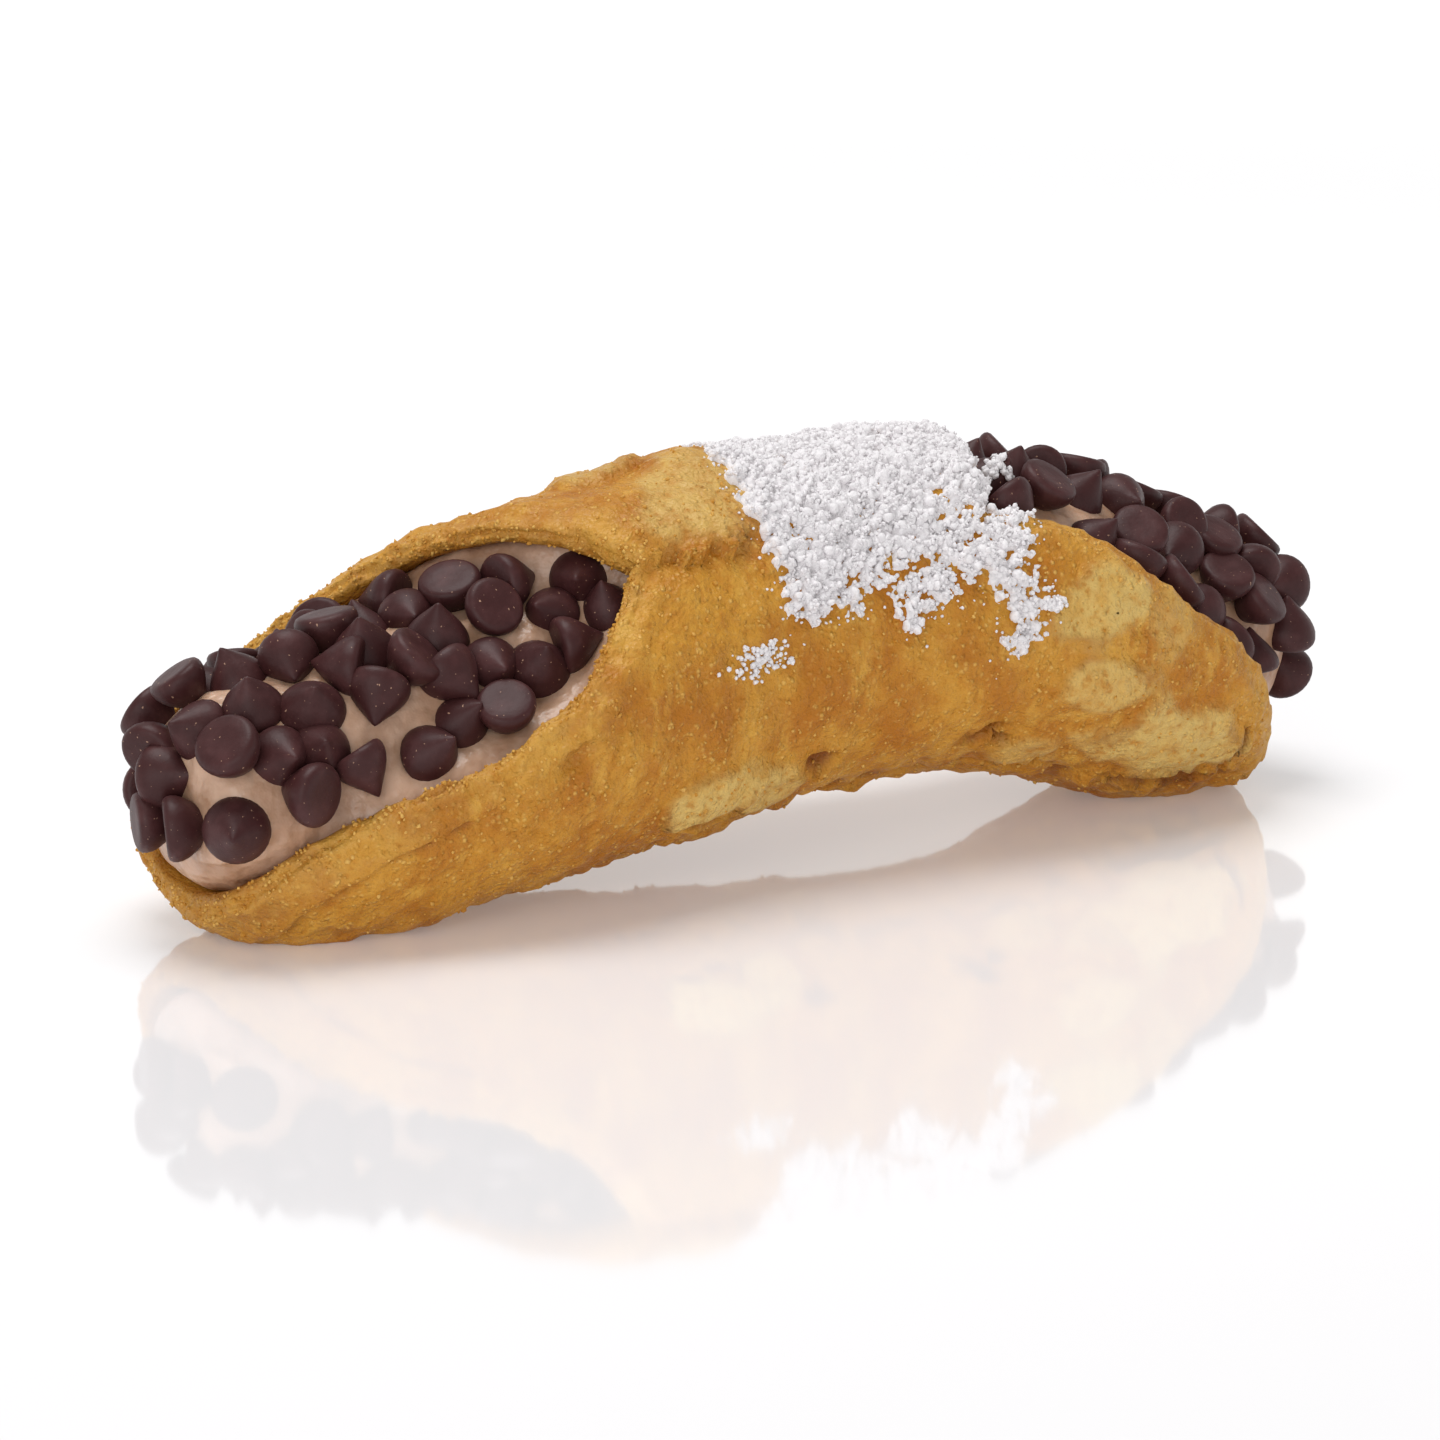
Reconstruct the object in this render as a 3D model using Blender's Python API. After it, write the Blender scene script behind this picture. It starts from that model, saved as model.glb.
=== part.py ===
"""A cannolo: a fried round of dough wrapped into a tube, filled with cream, chocolate drops pressed into
both open mouths and a patch of powdered sugar on top.

The tube lies along X with its narrower end at -X. The two edges of the wrapped round meet in a seam
on the upper front side. An angle round the tube is measured from straight down towards the front (-Y).
"""
import math
import random

import bmesh
import bpy
import numpy as np
from mathutils import Matrix, Vector
from mathutils.bvhtree import BVHTree

for old in list(bpy.data.objects):
    bpy.data.objects.remove(old, do_unlink=True)

MM = 0.001

# Wrapped dough tube: five stations along its length give the arch of the centre line and the radius.
STATIONS = (-60.0 * MM, -30.0 * MM, 0.0, 30.0 * MM, 60.0 * MM)
CENTRE_BACK = (0.0, 0.0, 2.5 * MM, 0.0, 0.0)
CENTRE_HEIGHT = (17.6 * MM, 18.7 * MM, 22.0 * MM, 22.5 * MM, 22.1 * MM)
TUBE_RADIUS = (14.5 * MM, 17.8 * MM, 17.7 * MM, 17.9 * MM, 20.2 * MM)
SQUASH = -0.176
SQUASH_START = 15.0 * MM
SQUASH_LENGTH = 45.0 * MM
WALL = 3.0 * MM
LIP_ROUND = 0.8 * MM
LIP_DEPTHS = (0.2, 0.8)
INNER_FOLLOWS = 0.5

# Ends of the round and the two notches where its edges meet over the filling.
LEFT_TIP = -58.5 * MM
RIGHT_TIP = 66.0 * MM
LEFT_NOTCH = -16.5 * MM
RIGHT_NOTCH = 22.0 * MM
TIP_TURN = math.radians(-45.0)
TIP_TWIST = math.radians(-8.0)
TWIST_LENGTH = 60.0 * MM
RIM_KNOTS = (0.0, 0.22, 0.5, 0.75, 1.0)
LEFT_FRONT_RIM = (1.0, 0.904, 0.937, 1.114, 1.406)
LEFT_BACK_RIM = (1.0, 0.857, 0.726, 0.69, 1.0)
RIGHT_FRONT_RIM = (1.0, 1.081, 1.105, 1.227, 1.135)
RIGHT_BACK_RIM = (1.0, 0.47, 0.55, 0.72, 1.0)

# Overlap of the wrap: the back edge lies on the front one and ends in a step.
FLAP_STEP = 1.5 * MM
FLAP_WIDTH = math.radians(55.0)
FLAP_FADE_START = -8.0 * MM
FLAP_FADE_END = 0.0
FLAP_REST = 0.25

# Fried relief: (along, angle in degrees, half length, half width, height) of blisters, heels and pits.
RELIEF = (
    (-50.0 * MM, -2.0, 13.0 * MM, 14.0 * MM, 2.8 * MM),
    (50.0 * MM, -3.0, 13.0 * MM, 16.0 * MM, 4.0 * MM),
    (19.0 * MM, 18.0, 12.0 * MM, 11.0 * MM, -1.6 * MM),
    (-8.0 * MM, 47.0, 8.0 * MM, 6.0 * MM, 1.3 * MM),
    (3.0 * MM, 46.0, 3.0 * MM, 3.0 * MM, 0.8 * MM),
    (43.5 * MM, 50.0, 9.0 * MM, 5.5 * MM, 1.2 * MM),
    (33.0 * MM, 70.0, 4.5 * MM, 3.5 * MM, 0.7 * MM),
    (34.0 * MM, 99.0, 7.0 * MM, 5.0 * MM, 0.8 * MM),
    (-40.0 * MM, 29.0, 6.0 * MM, 4.0 * MM, 0.9 * MM),
    (-5.0 * MM, 176.0, 5.5 * MM, 6.0 * MM, 1.6 * MM),
    (-28.0 * MM, 84.0, 2.6 * MM, 2.0 * MM, -0.9 * MM),
    (22.5 * MM, 53.0, 3.4 * MM, 2.6 * MM, -1.1 * MM),
    (-12.5 * MM, 137.0, 2.4 * MM, 2.0 * MM, -0.9 * MM),
    (8.0 * MM, 250.0, 8.0 * MM, 6.0 * MM, 1.1 * MM),
    (-30.0 * MM, 300.0, 7.0 * MM, 5.0 * MM, 0.9 * MM),
    (38.0 * MM, 290.0, 9.0 * MM, 6.0 * MM, 1.2 * MM),
)
BROAD_FORMS = 3
DIMPLE_COUNT = 70
DIMPLE_SIZE = (3.0 * MM, 6.5 * MM)
DIMPLE_HEIGHT = 0.4 * MM
DIMPLE_SEED = 11

SHELL_ROWS = 40
SHELL_COLUMNS = 34
SEAM_COLUMN = 0.007
CURVE_SAMPLES = 200

# Cream: fills the tube, lies lower than the dough in the open mouths and ends in blunt caps.
CREAM_GAP = 0.68 * MM
MOUTH_CREAM_RADIUS = (11.1 * MM, 13.8 * MM)
MOUTH_TAPER = (0.8 * MM, 2.6 * MM)
MOUTH_CREAM_DROP = 3.4 * MM
MOUTH_CREAM_FORWARD = 1.0 * MM
MOUTH_DEPTH = 3.0 * MM
MOUTH_SWELL = 4.0 * MM
MOUTH_REACH = 22.0 * MM
TAPER_START = 34.0 * MM
TAPER_LENGTH = 26.0 * MM
OPEN_BLEND = 0.35
CREAM_LEFT_END = -60.0 * MM
CREAM_RIGHT_END = 67.5 * MM
END_SAG = (3.0 * MM, 5.0 * MM)
END_SAG_START = 38.0 * MM
END_SAG_LENGTH = 24.0 * MM
CAP_LENGTH = (6.5 * MM, 10.0 * MM)
CAP_POWER = (3.2, 2.8)
CREAM_END_CROWDING = 0.4
CREAM_ROWS = 40
CREAM_COLUMNS = 26
RAY_ROUNDS = 3

# Chocolate drops: a flat base under a drawn-up point; the profile gives shares of the radius and height.
DROP_RADIUS = 2.95 * MM
DROP_HEIGHT = 5.0 * MM
DROP_PROFILE = ((0.88, 0.0), (1.0, 0.18), (0.60, 0.62))
DROP_SIDES = 7
WIDE_SPACINGS = (5.1 * MM, 4.6 * MM, 4.1 * MM)
CLOSE_SPACING = 3.8 * MM
DROP_PASSES = [(side, spacing) for side in (-1, 1) for spacing in WIDE_SPACINGS] + [(-1, CLOSE_SPACING)]
DROP_LOWEST_FACING = -0.12
DROP_CLEARANCE = 0.4 * MM
DROP_GUARD = 1.1
DROP_SIZES = (0.93, 1.07)
DROP_SEED = 42
DROP_TRIES = 12000

# How the drops lie, base out, on the side or point out: (share of the drops, least and greatest tilt in
# degrees, lift of the drop above the cream, share of its height that the cream swallows before the lift).
DROP_POSES = (
    (0.38, 180.0, 130.0, 1.3 * MM, 0.4),
    (0.34, 65.0, 110.0, 0.9 * MM, 0.4),
    (0.28, 0.0, 40.0, -1.2 * MM, 0.0),
)
MOUTH_VIEW = 30.0 * MM

# Powdered sugar: a lumpy skin over the top of the tube with a ragged front edge.
SUGAR_GAP = 0.5 * MM
SUGAR_THIN = 0.35 * MM
SUGAR_THICK = 1.5 * MM
SUGAR_LEFT = -2.8 * MM
SUGAR_RIGHT = 26.5 * MM
SUGAR_FRONT_AT = (-4.0 * MM, 3.0 * MM, 9.0 * MM, 14.0 * MM, 18.0 * MM, 22.0 * MM, 27.0 * MM)
SUGAR_FRONT_DEGREES = (112.0, 104.0, 101.0, 103.0, 104.0, 93.0, 101.0)
SUGAR_BACK = math.radians(208.0)
SUGAR_SIDE_WAVE = 1.6 * MM
SUGAR_SIDE_WAVES = 7
SUGAR_RIM_MARGIN = 1.7 * MM
SUGAR_NOTCH_WIDTH = 0.12
SUGAR_EDGE_QUADS = 2.25
SUGAR_EDGE_LEAST = 0.25
SUGAR_ROWS = 17
SUGAR_COLUMNS = 17
SUGAR_SEED = 3
SUGAR_LIFTS = 4
SUGAR_END_ROUNDS = 3

# Surfaces: colour, roughness and the angle from which an edge is crisp.
CRUST_COLOUR = (0.60, 0.33, 0.10)
CRUST_ROUGHNESS = 0.62
CREAM_COLOUR = (0.55, 0.36, 0.24)
CREAM_ROUGHNESS = 0.45
SUGAR_COLOUR = (0.93, 0.93, 0.94)
SUGAR_ROUGHNESS = 0.85
SHARP_ANGLE = math.radians(50.0)

# Moves the whole so that the middle of its box stands at X = Y = 0.
SHIFT_X = -3.42 * MM
SHIFT_Y = -0.61 * MM


def smooth_through(knots, values, x):
    """Smooth curve through the values at the knots."""
    knots = np.asarray(knots, float)
    values = np.asarray(values, float)
    slopes = np.gradient(values, knots)
    x = np.asarray(x, float)
    k = np.clip(np.searchsorted(knots, x) - 1, 0, len(knots) - 2)
    width = knots[k + 1] - knots[k]
    t = (x - knots[k]) / width
    start = (1 + 2 * t) * (1 - t) ** 2 * values[k] + t * (1 - t) ** 2 * width * slopes[k]
    end = t * t * (3 - 2 * t) * values[k + 1] + t * t * (t - 1) * width * slopes[k + 1]
    return start + end


def smooth_step(x):
    """Rises from 0 to 1 as x goes from 0 to 1."""
    x = np.clip(x, 0.0, 1.0)
    return x * x * (3 - 2 * x)


def tip_direction(u):
    """Angle of the line through both tips of the round, opposite the seam."""
    return TIP_TURN + TIP_TWIST * u / TWIST_LENGTH


def rim_turn(u, side):
    """How far the dough reaches from the tip line at u: side 1 is the front, -1 the back."""
    left = np.clip((LEFT_NOTCH - u) / (LEFT_NOTCH - LEFT_TIP), 0.0, 1.0)
    right = np.clip((u - RIGHT_NOTCH) / (RIGHT_TIP - RIGHT_NOTCH), 0.0, 1.0)
    left_factors = LEFT_FRONT_RIM if side > 0 else LEFT_BACK_RIM
    right_factors = RIGHT_FRONT_RIM if side > 0 else RIGHT_BACK_RIM
    reach_left = smooth_through(RIM_KNOTS, left_factors, left) * np.sqrt(1 - left)
    reach_right = smooth_through(RIM_KNOTS, right_factors, right) * np.sqrt(1 - right)
    return math.pi * np.minimum(np.minimum(reach_left, reach_right), 1.0)


def tube_radius(u, angle):
    """Outer radius of the plain tube, flattened towards the front at the left mouth."""
    squash = SQUASH * np.clip((-u - SQUASH_START) / SQUASH_LENGTH, 0.0, 1.5) ** 2
    return smooth_through(STATIONS, TUBE_RADIUS, u) * (1 + squash * np.sin(angle))


def wrap(angle):
    """The same angle between minus and plus half a turn."""
    return (angle + math.pi) % (2 * math.pi) - math.pi


def relief_height(u, angle, dimples):
    """Blisters, heels, pits and seeded dimples of the fried surface."""
    radius = smooth_through(STATIONS, TUBE_RADIUS, u)
    height = np.zeros_like(u)
    for along, degrees, half_length, half_width, rise in RELIEF:
        across = wrap(angle - math.radians(degrees)) * radius
        spread = ((u - along) / half_length) ** 2 + (across / half_width) ** 2
        height = height + rise * np.exp(-spread)
    for along, turn, size, rise in dimples:
        across = wrap(angle - turn) * radius
        spread = ((u - along) ** 2 + across ** 2) / size ** 2
        height = height + rise * np.exp(-spread)
    return height


def flap_height(u, phi):
    """Extra height of the overlapping back edge; phi runs from the tip line, -pi at the step."""
    fade = 1 - (1 - FLAP_REST) * smooth_step((u - FLAP_FADE_START) / (FLAP_FADE_END - FLAP_FADE_START))
    return FLAP_STEP * fade * smooth_step(1 - (phi + math.pi) / FLAP_WIDTH)


def at(u, angle, radius):
    """Points at a radius and angle round the centre line."""
    y = smooth_through(STATIONS, CENTRE_BACK, u) - radius * np.sin(angle) + SHIFT_Y
    z = smooth_through(STATIONS, CENTRE_HEIGHT, u) - radius * np.cos(angle)
    return np.stack([u + SHIFT_X, y, z], -1)


def make_dimples():
    """Seeded small swellings and hollows over the whole tube."""
    draw = random.Random(DIMPLE_SEED)
    dimples = []
    for _ in range(DIMPLE_COUNT):
        along = draw.uniform(LEFT_TIP, RIGHT_TIP)
        turn = draw.uniform(-math.pi, math.pi)
        size = draw.uniform(*DIMPLE_SIZE)
        rise = draw.uniform(-1.0, 1.0) * DIMPLE_HEIGHT
        dimples.append((along, turn, size, rise))
    return dimples


def outer_radius(u, phi, dimples):
    """Outer radius of the fried dough with its relief and the flap."""
    angle = phi + tip_direction(u)
    return tube_radius(u, angle) + relief_height(u, angle, dimples) + flap_height(u, phi)


def inner_radius(u, phi):
    """Inner radius of the dough, which half follows the broad forms of the underside."""
    angle = phi + tip_direction(u)
    broad = np.zeros_like(u)
    for along, degrees, half_length, half_width, rise in RELIEF[:BROAD_FORMS]:
        across = wrap(angle - math.radians(degrees)) * smooth_through(STATIONS, TUBE_RADIUS, u)
        spread = ((u - along) / half_length) ** 2 + (across / half_width) ** 2
        broad = broad + INNER_FOLLOWS * rise * np.exp(-spread)
    return tube_radius(u, angle) - WALL + broad


def mouth_curve(notch, tip, shares):
    """Edge of one mouth as (u, phi), from the back notch over the tip to the front notch."""
    sweep = np.sin(np.linspace(0.0, math.pi / 2, CURVE_SAMPLES))
    u = notch + (tip - notch) * sweep
    back = -rim_turn(u, -1)
    front = rim_turn(u, 1)
    curve_u = np.concatenate([u, u[::-1][1:]])
    curve_phi = np.concatenate([back, front[::-1][1:]])
    run = np.hypot(np.diff(curve_u), np.diff(curve_phi) * TUBE_RADIUS[1])
    length = np.concatenate([[0.0], np.cumsum(run)])
    length = length / length[-1]
    return np.interp(shares, length, curve_u), np.interp(shares, length, curve_phi)


def dough_grid():
    """The (u, phi) grid of the wrapped round: rows from the left to the right mouth."""
    shares = np.append(np.linspace(0.0, 1.0 - SEAM_COLUMN, SHELL_COLUMNS), 1.0)[:SHELL_COLUMNS]
    left_u, left_phi = mouth_curve(LEFT_NOTCH, LEFT_TIP, shares)
    right_u, right_phi = mouth_curve(RIGHT_NOTCH, RIGHT_TIP, shares)
    row = np.linspace(0.0, 1.0, SHELL_ROWS + 1)[:, None]
    return (1 - row) * left_u + row * right_u, (1 - row) * left_phi + row * right_phi


def lip_loop(outer, inner, step_in, depth):
    """A loop between the outer and inner edge of a mouth, rounded outwards."""
    tangent = np.roll(outer, -1, axis=0) - np.roll(outer, 1, axis=0)
    thickness = outer - inner
    side = np.cross(tangent, thickness)
    side = side / np.linalg.norm(side, axis=1, keepdims=True)
    facing = np.sign(np.einsum("ij,ij->i", side, step_in))[:, None]
    loop = outer - thickness * depth - side * facing * LIP_ROUND
    loop[:, 2] = np.maximum(loop[:, 2], 0.0)
    return loop


def add_tube_faces(faces, start_a, start_b, count):
    """Quads between two closed loops of the same count."""
    for j in range(count):
        k = (j + 1) % count
        faces.append((start_a + j, start_a + k, start_b + k, start_b + j))


def new_object(name, vertices, faces, material):
    """A mesh object whose faces all look outwards."""
    mesh = bpy.data.meshes.new(name)
    mesh.from_pydata([tuple(v) for v in vertices], [], faces)
    mesh.update()
    shape = bmesh.new()
    shape.from_mesh(mesh)
    bmesh.ops.recalc_face_normals(shape, faces=shape.faces[:])
    shape.to_mesh(mesh)
    shape.free()
    body = bpy.data.objects.new(name, mesh)
    bpy.context.scene.collection.objects.link(body)
    if material is not None:
        mesh.materials.append(material)
        mesh.shade_smooth()
        mesh.set_sharp_from_angle(angle=SHARP_ANGLE)
    return body


def plain_material(name, colour, roughness):
    """A Principled material of one colour."""
    material = bpy.data.materials.new(name)
    material.use_nodes = True
    shader = material.node_tree.nodes["Principled BSDF"]
    shader.inputs["Base Color"].default_value = (*colour, 1.0)
    shader.inputs["Roughness"].default_value = roughness
    material.diffuse_color = (*colour, 1.0)
    return material


def make_shell(dimples, material):
    """The dough: outer skin, rounded lips and a coarser inner skin joined into one body."""
    u, phi = dough_grid()
    outer = at(u, phi + tip_direction(u), outer_radius(u, phi, dimples))
    outer[..., 2] = np.maximum(outer[..., 2], 0.0)
    inner = at(u, phi + tip_direction(u), inner_radius(u, phi))
    vertices = []
    loops = []

    def add_loop(points):
        loops.append(len(vertices))
        vertices.extend(points.tolist())

    for i in range(SHELL_ROWS + 1):
        add_loop(outer[i])
    for depth in LIP_DEPTHS:
        add_loop(lip_loop(outer[-1], inner[-1], outer[-2] - outer[-1], depth))
    for i in range(SHELL_ROWS, -1, -2):
        add_loop(inner[i])
    for depth in reversed(LIP_DEPTHS):
        add_loop(lip_loop(outer[0], inner[0], outer[1] - outer[0], depth))
    faces = []
    for k, start in enumerate(loops):
        following = loops[(k + 1) % len(loops)]
        add_tube_faces(faces, start, following, SHELL_COLUMNS)
    return new_object("shell", vertices, faces, material)


def cream_section(u, turn):
    """Cream surface at one station: points on rays from a middle that sinks in the mouths."""
    in_mouth = smooth_step(np.maximum(LEFT_NOTCH - u, u - RIGHT_NOTCH) / MOUTH_REACH)
    cap_length = np.where(u < 0.0, CAP_LENGTH[0], CAP_LENGTH[1])
    cap_power = np.where(u < 0.0, CAP_POWER[0], CAP_POWER[1])
    cap = 1 - np.minimum(np.minimum(u - CREAM_LEFT_END, CREAM_RIGHT_END - u) / cap_length, 1.0)
    drop = MOUTH_CREAM_DROP * in_mouth
    sag = np.where(u < 0.0, END_SAG[0], END_SAG[1])
    sag = sag * smooth_step((np.abs(u) - END_SAG_START) / END_SAG_LENGTH)
    tip = tip_direction(u)
    middle_y = -drop * np.sin(tip) - MOUTH_CREAM_FORWARD * in_mouth
    middle_z = -drop * np.cos(tip) - sag
    ray_y = -np.sin(turn + tip)
    ray_z = -np.cos(turn + tip)
    along_ray = middle_y * ray_y + middle_z * ray_z
    phi = turn
    for _ in range(RAY_ROUNDS):
        wall = inner_radius(u, phi) - CREAM_GAP
        to_wall = -along_ray + np.sqrt(along_ray ** 2 - middle_y ** 2 - middle_z ** 2 + wall ** 2)
        hit_y = middle_y + to_wall * ray_y
        hit_z = middle_z + to_wall * ray_z
        phi = wrap(np.arctan2(-hit_y, -hit_z) - tip)
    outwards = np.where(u < 0.0, -MOUTH_DEPTH, MOUTH_DEPTH)
    near_rim = np.maximum(phi - rim_turn(u + outwards, 1), -phi - rim_turn(u + outwards, -1))
    past_rim = np.maximum(phi - rim_turn(u - outwards, 1), -phi - rim_turn(u - outwards, -1))
    taper = np.where(u < 0.0, MOUTH_TAPER[0], MOUTH_TAPER[1])
    taper = taper * smooth_step((np.abs(u) - TAPER_START) / TAPER_LENGTH)
    side = np.where(u < 0.0, MOUTH_CREAM_RADIUS[0], MOUTH_CREAM_RADIUS[1]) - taper
    sunk = np.minimum(side - to_wall, 0.0) * smooth_step(near_rim / OPEN_BLEND)
    swollen = np.clip(side - to_wall, 0.0, MOUTH_SWELL) * smooth_step(past_rim / OPEN_BLEND)
    reach = to_wall + sunk + swollen
    shrink = np.maximum(1 - cap ** cap_power, 0.0) ** (1 / cap_power)
    points = at(u, tip, np.zeros_like(u))
    points[..., 1] += middle_y + reach * shrink * ray_y
    points[..., 2] += middle_z + reach * shrink * ray_z
    return points


def make_cream(material):
    """The cream body: rings along the tube, drawn together at both ends."""
    even = np.linspace(0.0, 1.0, CREAM_ROWS + 1)
    crowded = 0.5 - 0.5 * np.cos(even * math.pi)
    share = CREAM_END_CROWDING * crowded + (1 - CREAM_END_CROWDING) * even
    stations = CREAM_LEFT_END + (CREAM_RIGHT_END - CREAM_LEFT_END) * share
    turn = np.linspace(-math.pi, math.pi, CREAM_COLUMNS, endpoint=False)
    vertices = []
    loops = []
    for station in stations[1:-1]:
        loops.append(len(vertices))
        vertices.extend(cream_section(np.full(CREAM_COLUMNS, station), turn).tolist())
    faces = []
    for start, following in zip(loops, loops[1:]):
        add_tube_faces(faces, start, following, CREAM_COLUMNS)
    for end, start in ((stations[0], loops[0]), (stations[-1], loops[-1])):
        vertices.extend(cream_section(np.array([end]), np.array([0.0])).tolist())
        pole = len(vertices) - 1
        for j in range(CREAM_COLUMNS):
            faces.append((start + j, start + (j + 1) % CREAM_COLUMNS, pole))
    return new_object("filling", vertices, faces, material)


def drop_mesh():
    """Vertices and faces of one chocolate drop, base at the origin and point upwards."""
    vertices = []
    faces = []
    for radius_share, height_share in DROP_PROFILE:
        for j in range(DROP_SIDES):
            turn = 2 * math.pi * j / DROP_SIDES
            radius = DROP_RADIUS * radius_share
            vertices.append((radius * math.cos(turn), radius * math.sin(turn), DROP_HEIGHT * height_share))
    for k in range(len(DROP_PROFILE) - 1):
        add_tube_faces(faces, k * DROP_SIDES, (k + 1) * DROP_SIDES, DROP_SIDES)
    faces.append(tuple(range(DROP_SIDES)))
    top = len(vertices)
    vertices.append((0.0, 0.0, DROP_HEIGHT))
    last = (len(DROP_PROFILE) - 1) * DROP_SIDES
    for j in range(DROP_SIDES):
        faces.append((last + j, last + (j + 1) % DROP_SIDES, top))
    return vertices, faces


def place_drops(cream, shell_tree):
    """Seeded places for the drops: spread over the open cream, clear of the dough and of each other."""
    draw = random.Random(DROP_SEED)
    shape = bmesh.new()
    shape.from_mesh(cream.data)
    bmesh.ops.triangulate(shape, faces=shape.faces[:])
    triangles = [face for face in shape.faces]
    areas = np.cumsum([face.calc_area() for face in triangles])
    corners, sides = drop_mesh()
    found = []
    for side, spacing in DROP_PASSES:
        for _ in range(DROP_TRIES):
            face = triangles[int(np.searchsorted(areas, draw.random() * areas[-1]))]
            a, b = draw.random(), draw.random()
            if a + b > 1:
                a, b = 1 - a, 1 - b
            kind, lean, spin, size = draw.random(), draw.random(), draw.random(), draw.uniform(*DROP_SIZES)
            p, q, r = (v.co for v in face.verts)
            spot = p + (q - p) * a + (r - p) * b
            if (spot.x - SHIFT_X) * side < 0 or face.normal.z < DROP_LOWEST_FACING:
                continue
            if min(((spot - other).length for other, _ in found), default=spacing) < spacing:
                continue
            if shell_tree.ray_cast(spot, face.normal, MOUTH_VIEW)[0] is not None:
                continue
            matrix = drop_matrix(spot, face.normal, kind, lean, spin, size)
            world = [matrix @ Vector(c) for c in corners]
            near = min(shell_tree.find_nearest(w)[3] for w in world)
            low = min(w.z for w in world)
            middle = sum(world, Vector()) / len(world)
            if near < DROP_CLEARANCE or low < DROP_CLEARANCE:
                continue
            if shell_tree.ray_cast(middle, face.normal, MOUTH_VIEW)[0] is not None:
                continue
            guard = [middle + (w - middle) * DROP_GUARD for w in world]
            if shell_tree.overlap(BVHTree.FromPolygons(guard, sides)):
                continue
            found.append((spot, matrix))
    shape.free()
    return [matrix for _, matrix in found]


def drop_matrix(spot, normal, kind, lean, spin, size):
    """Pose of a drop on the cream, its kind and lean drawn between 0 and 1."""
    for share, tilt_from, tilt_to, lift, swallowed in DROP_POSES:
        if kind < share:
            break
        kind -= share
    tilt = math.radians(tilt_from + (tilt_to - tilt_from) * lean)
    upright = normal.normalized().to_track_quat("Z", "Y").to_matrix().to_4x4()
    raised = Matrix.Translation((0.0, 0.0, lift))
    around = Matrix.Rotation(2 * math.pi * spin, 4, "Z")
    leaning = Matrix.Rotation(tilt, 4, "X")
    centring = Matrix.Translation((0.0, 0.0, -swallowed * DROP_HEIGHT))
    return Matrix.Translation(spot) @ upright @ raised @ around @ leaning @ centring @ Matrix.Scale(size, 4)


def fuse_drops(cream, matrices):
    """Joins all drops to the cream with one Boolean union, then removes the loose drops."""
    group = bpy.data.collections.new("drops")
    bpy.context.scene.collection.children.link(group)
    vertices, faces = drop_mesh()
    drops = []
    for number, matrix in enumerate(matrices):
        drop = new_object(f"drop_{number}", [matrix @ Vector(v) for v in vertices], faces, None)
        bpy.context.scene.collection.objects.unlink(drop)
        group.objects.link(drop)
        drops.append(drop)
    union = cream.modifiers.new("drops", "BOOLEAN")
    union.operation = "UNION"
    union.operand_type = "COLLECTION"
    union.collection = group
    union.solver = "MANIFOLD"
    bpy.context.view_layer.objects.active = cream
    bpy.ops.object.modifier_apply(modifier=union.name)
    for drop in drops:
        bpy.data.objects.remove(drop, do_unlink=True)
    bpy.data.collections.remove(group)
    keep_largest_body(cream)
    cream.data.set_sharp_from_angle(angle=SHARP_ANGLE)


def keep_largest_body(body):
    """Removes all but the largest body: a loose scrap or a sealed hollow that the union may leave."""
    shape = bmesh.new()
    shape.from_mesh(body.data)
    left = set(shape.verts)
    groups = []
    while left:
        start = left.pop()
        group = [start]
        for vertex in group:
            for edge in vertex.link_edges:
                other = edge.other_vert(vertex)
                if other in left:
                    left.remove(other)
                    group.append(other)
        groups.append(group)
    groups.sort(key=len)
    for group in groups[:-1]:
        bmesh.ops.delete(shape, geom=group, context="VERTS")
    shape.to_mesh(body.data)
    shape.free()


def sugar_right_end(angles):
    """Right end of the sugar at each angle, held back from the edge of the right mouth."""
    edge_u, edge_phi = mouth_curve(RIGHT_NOTCH, RIGHT_TIP, np.linspace(0.0, 1.0, CURVE_SAMPLES))
    reach = []
    for angle in angles:
        around = wrap(angle - tip_direction(SUGAR_RIGHT) - edge_phi)
        close = np.abs(around) < SUGAR_NOTCH_WIDTH
        limit = edge_u[close].min() if close.any() else SUGAR_RIGHT
        reach.append(min(SUGAR_RIGHT, limit - SUGAR_RIM_MARGIN))
    ends = np.array(reach)
    for _ in range(SUGAR_END_ROUNDS):
        neighbours = np.concatenate([ends[:1], ends, ends[-1:]])
        ends = np.minimum(ends, (neighbours[:-2] + 2 * ends + neighbours[2:]) / 4)
    return ends


def raise_clear(base, u, angle, tree):
    """Raises the underside of the sugar until its corners, edges and faces keep clear of the dough."""
    for _ in range(SUGAR_LIFTS):
        low = at(u, angle, base)
        lift = np.zeros_like(base)
        for i in range(2 * base.shape[0] - 1):
            for j in range(2 * base.shape[1] - 1):
                rows = slice(i // 2, (i + 1) // 2 + 1)
                columns = slice(j // 2, (j + 1) // 2 + 1)
                spot = Vector(low[rows, columns].reshape(-1, 3).mean(axis=0))
                hit, normal, _, _ = tree.find_nearest(spot)
                shortage = SUGAR_GAP - (spot - hit).dot(normal)
                lift[rows, columns] = np.maximum(lift[rows, columns], shortage)
        base = base + np.maximum(lift, 0.0)
    return base


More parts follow.
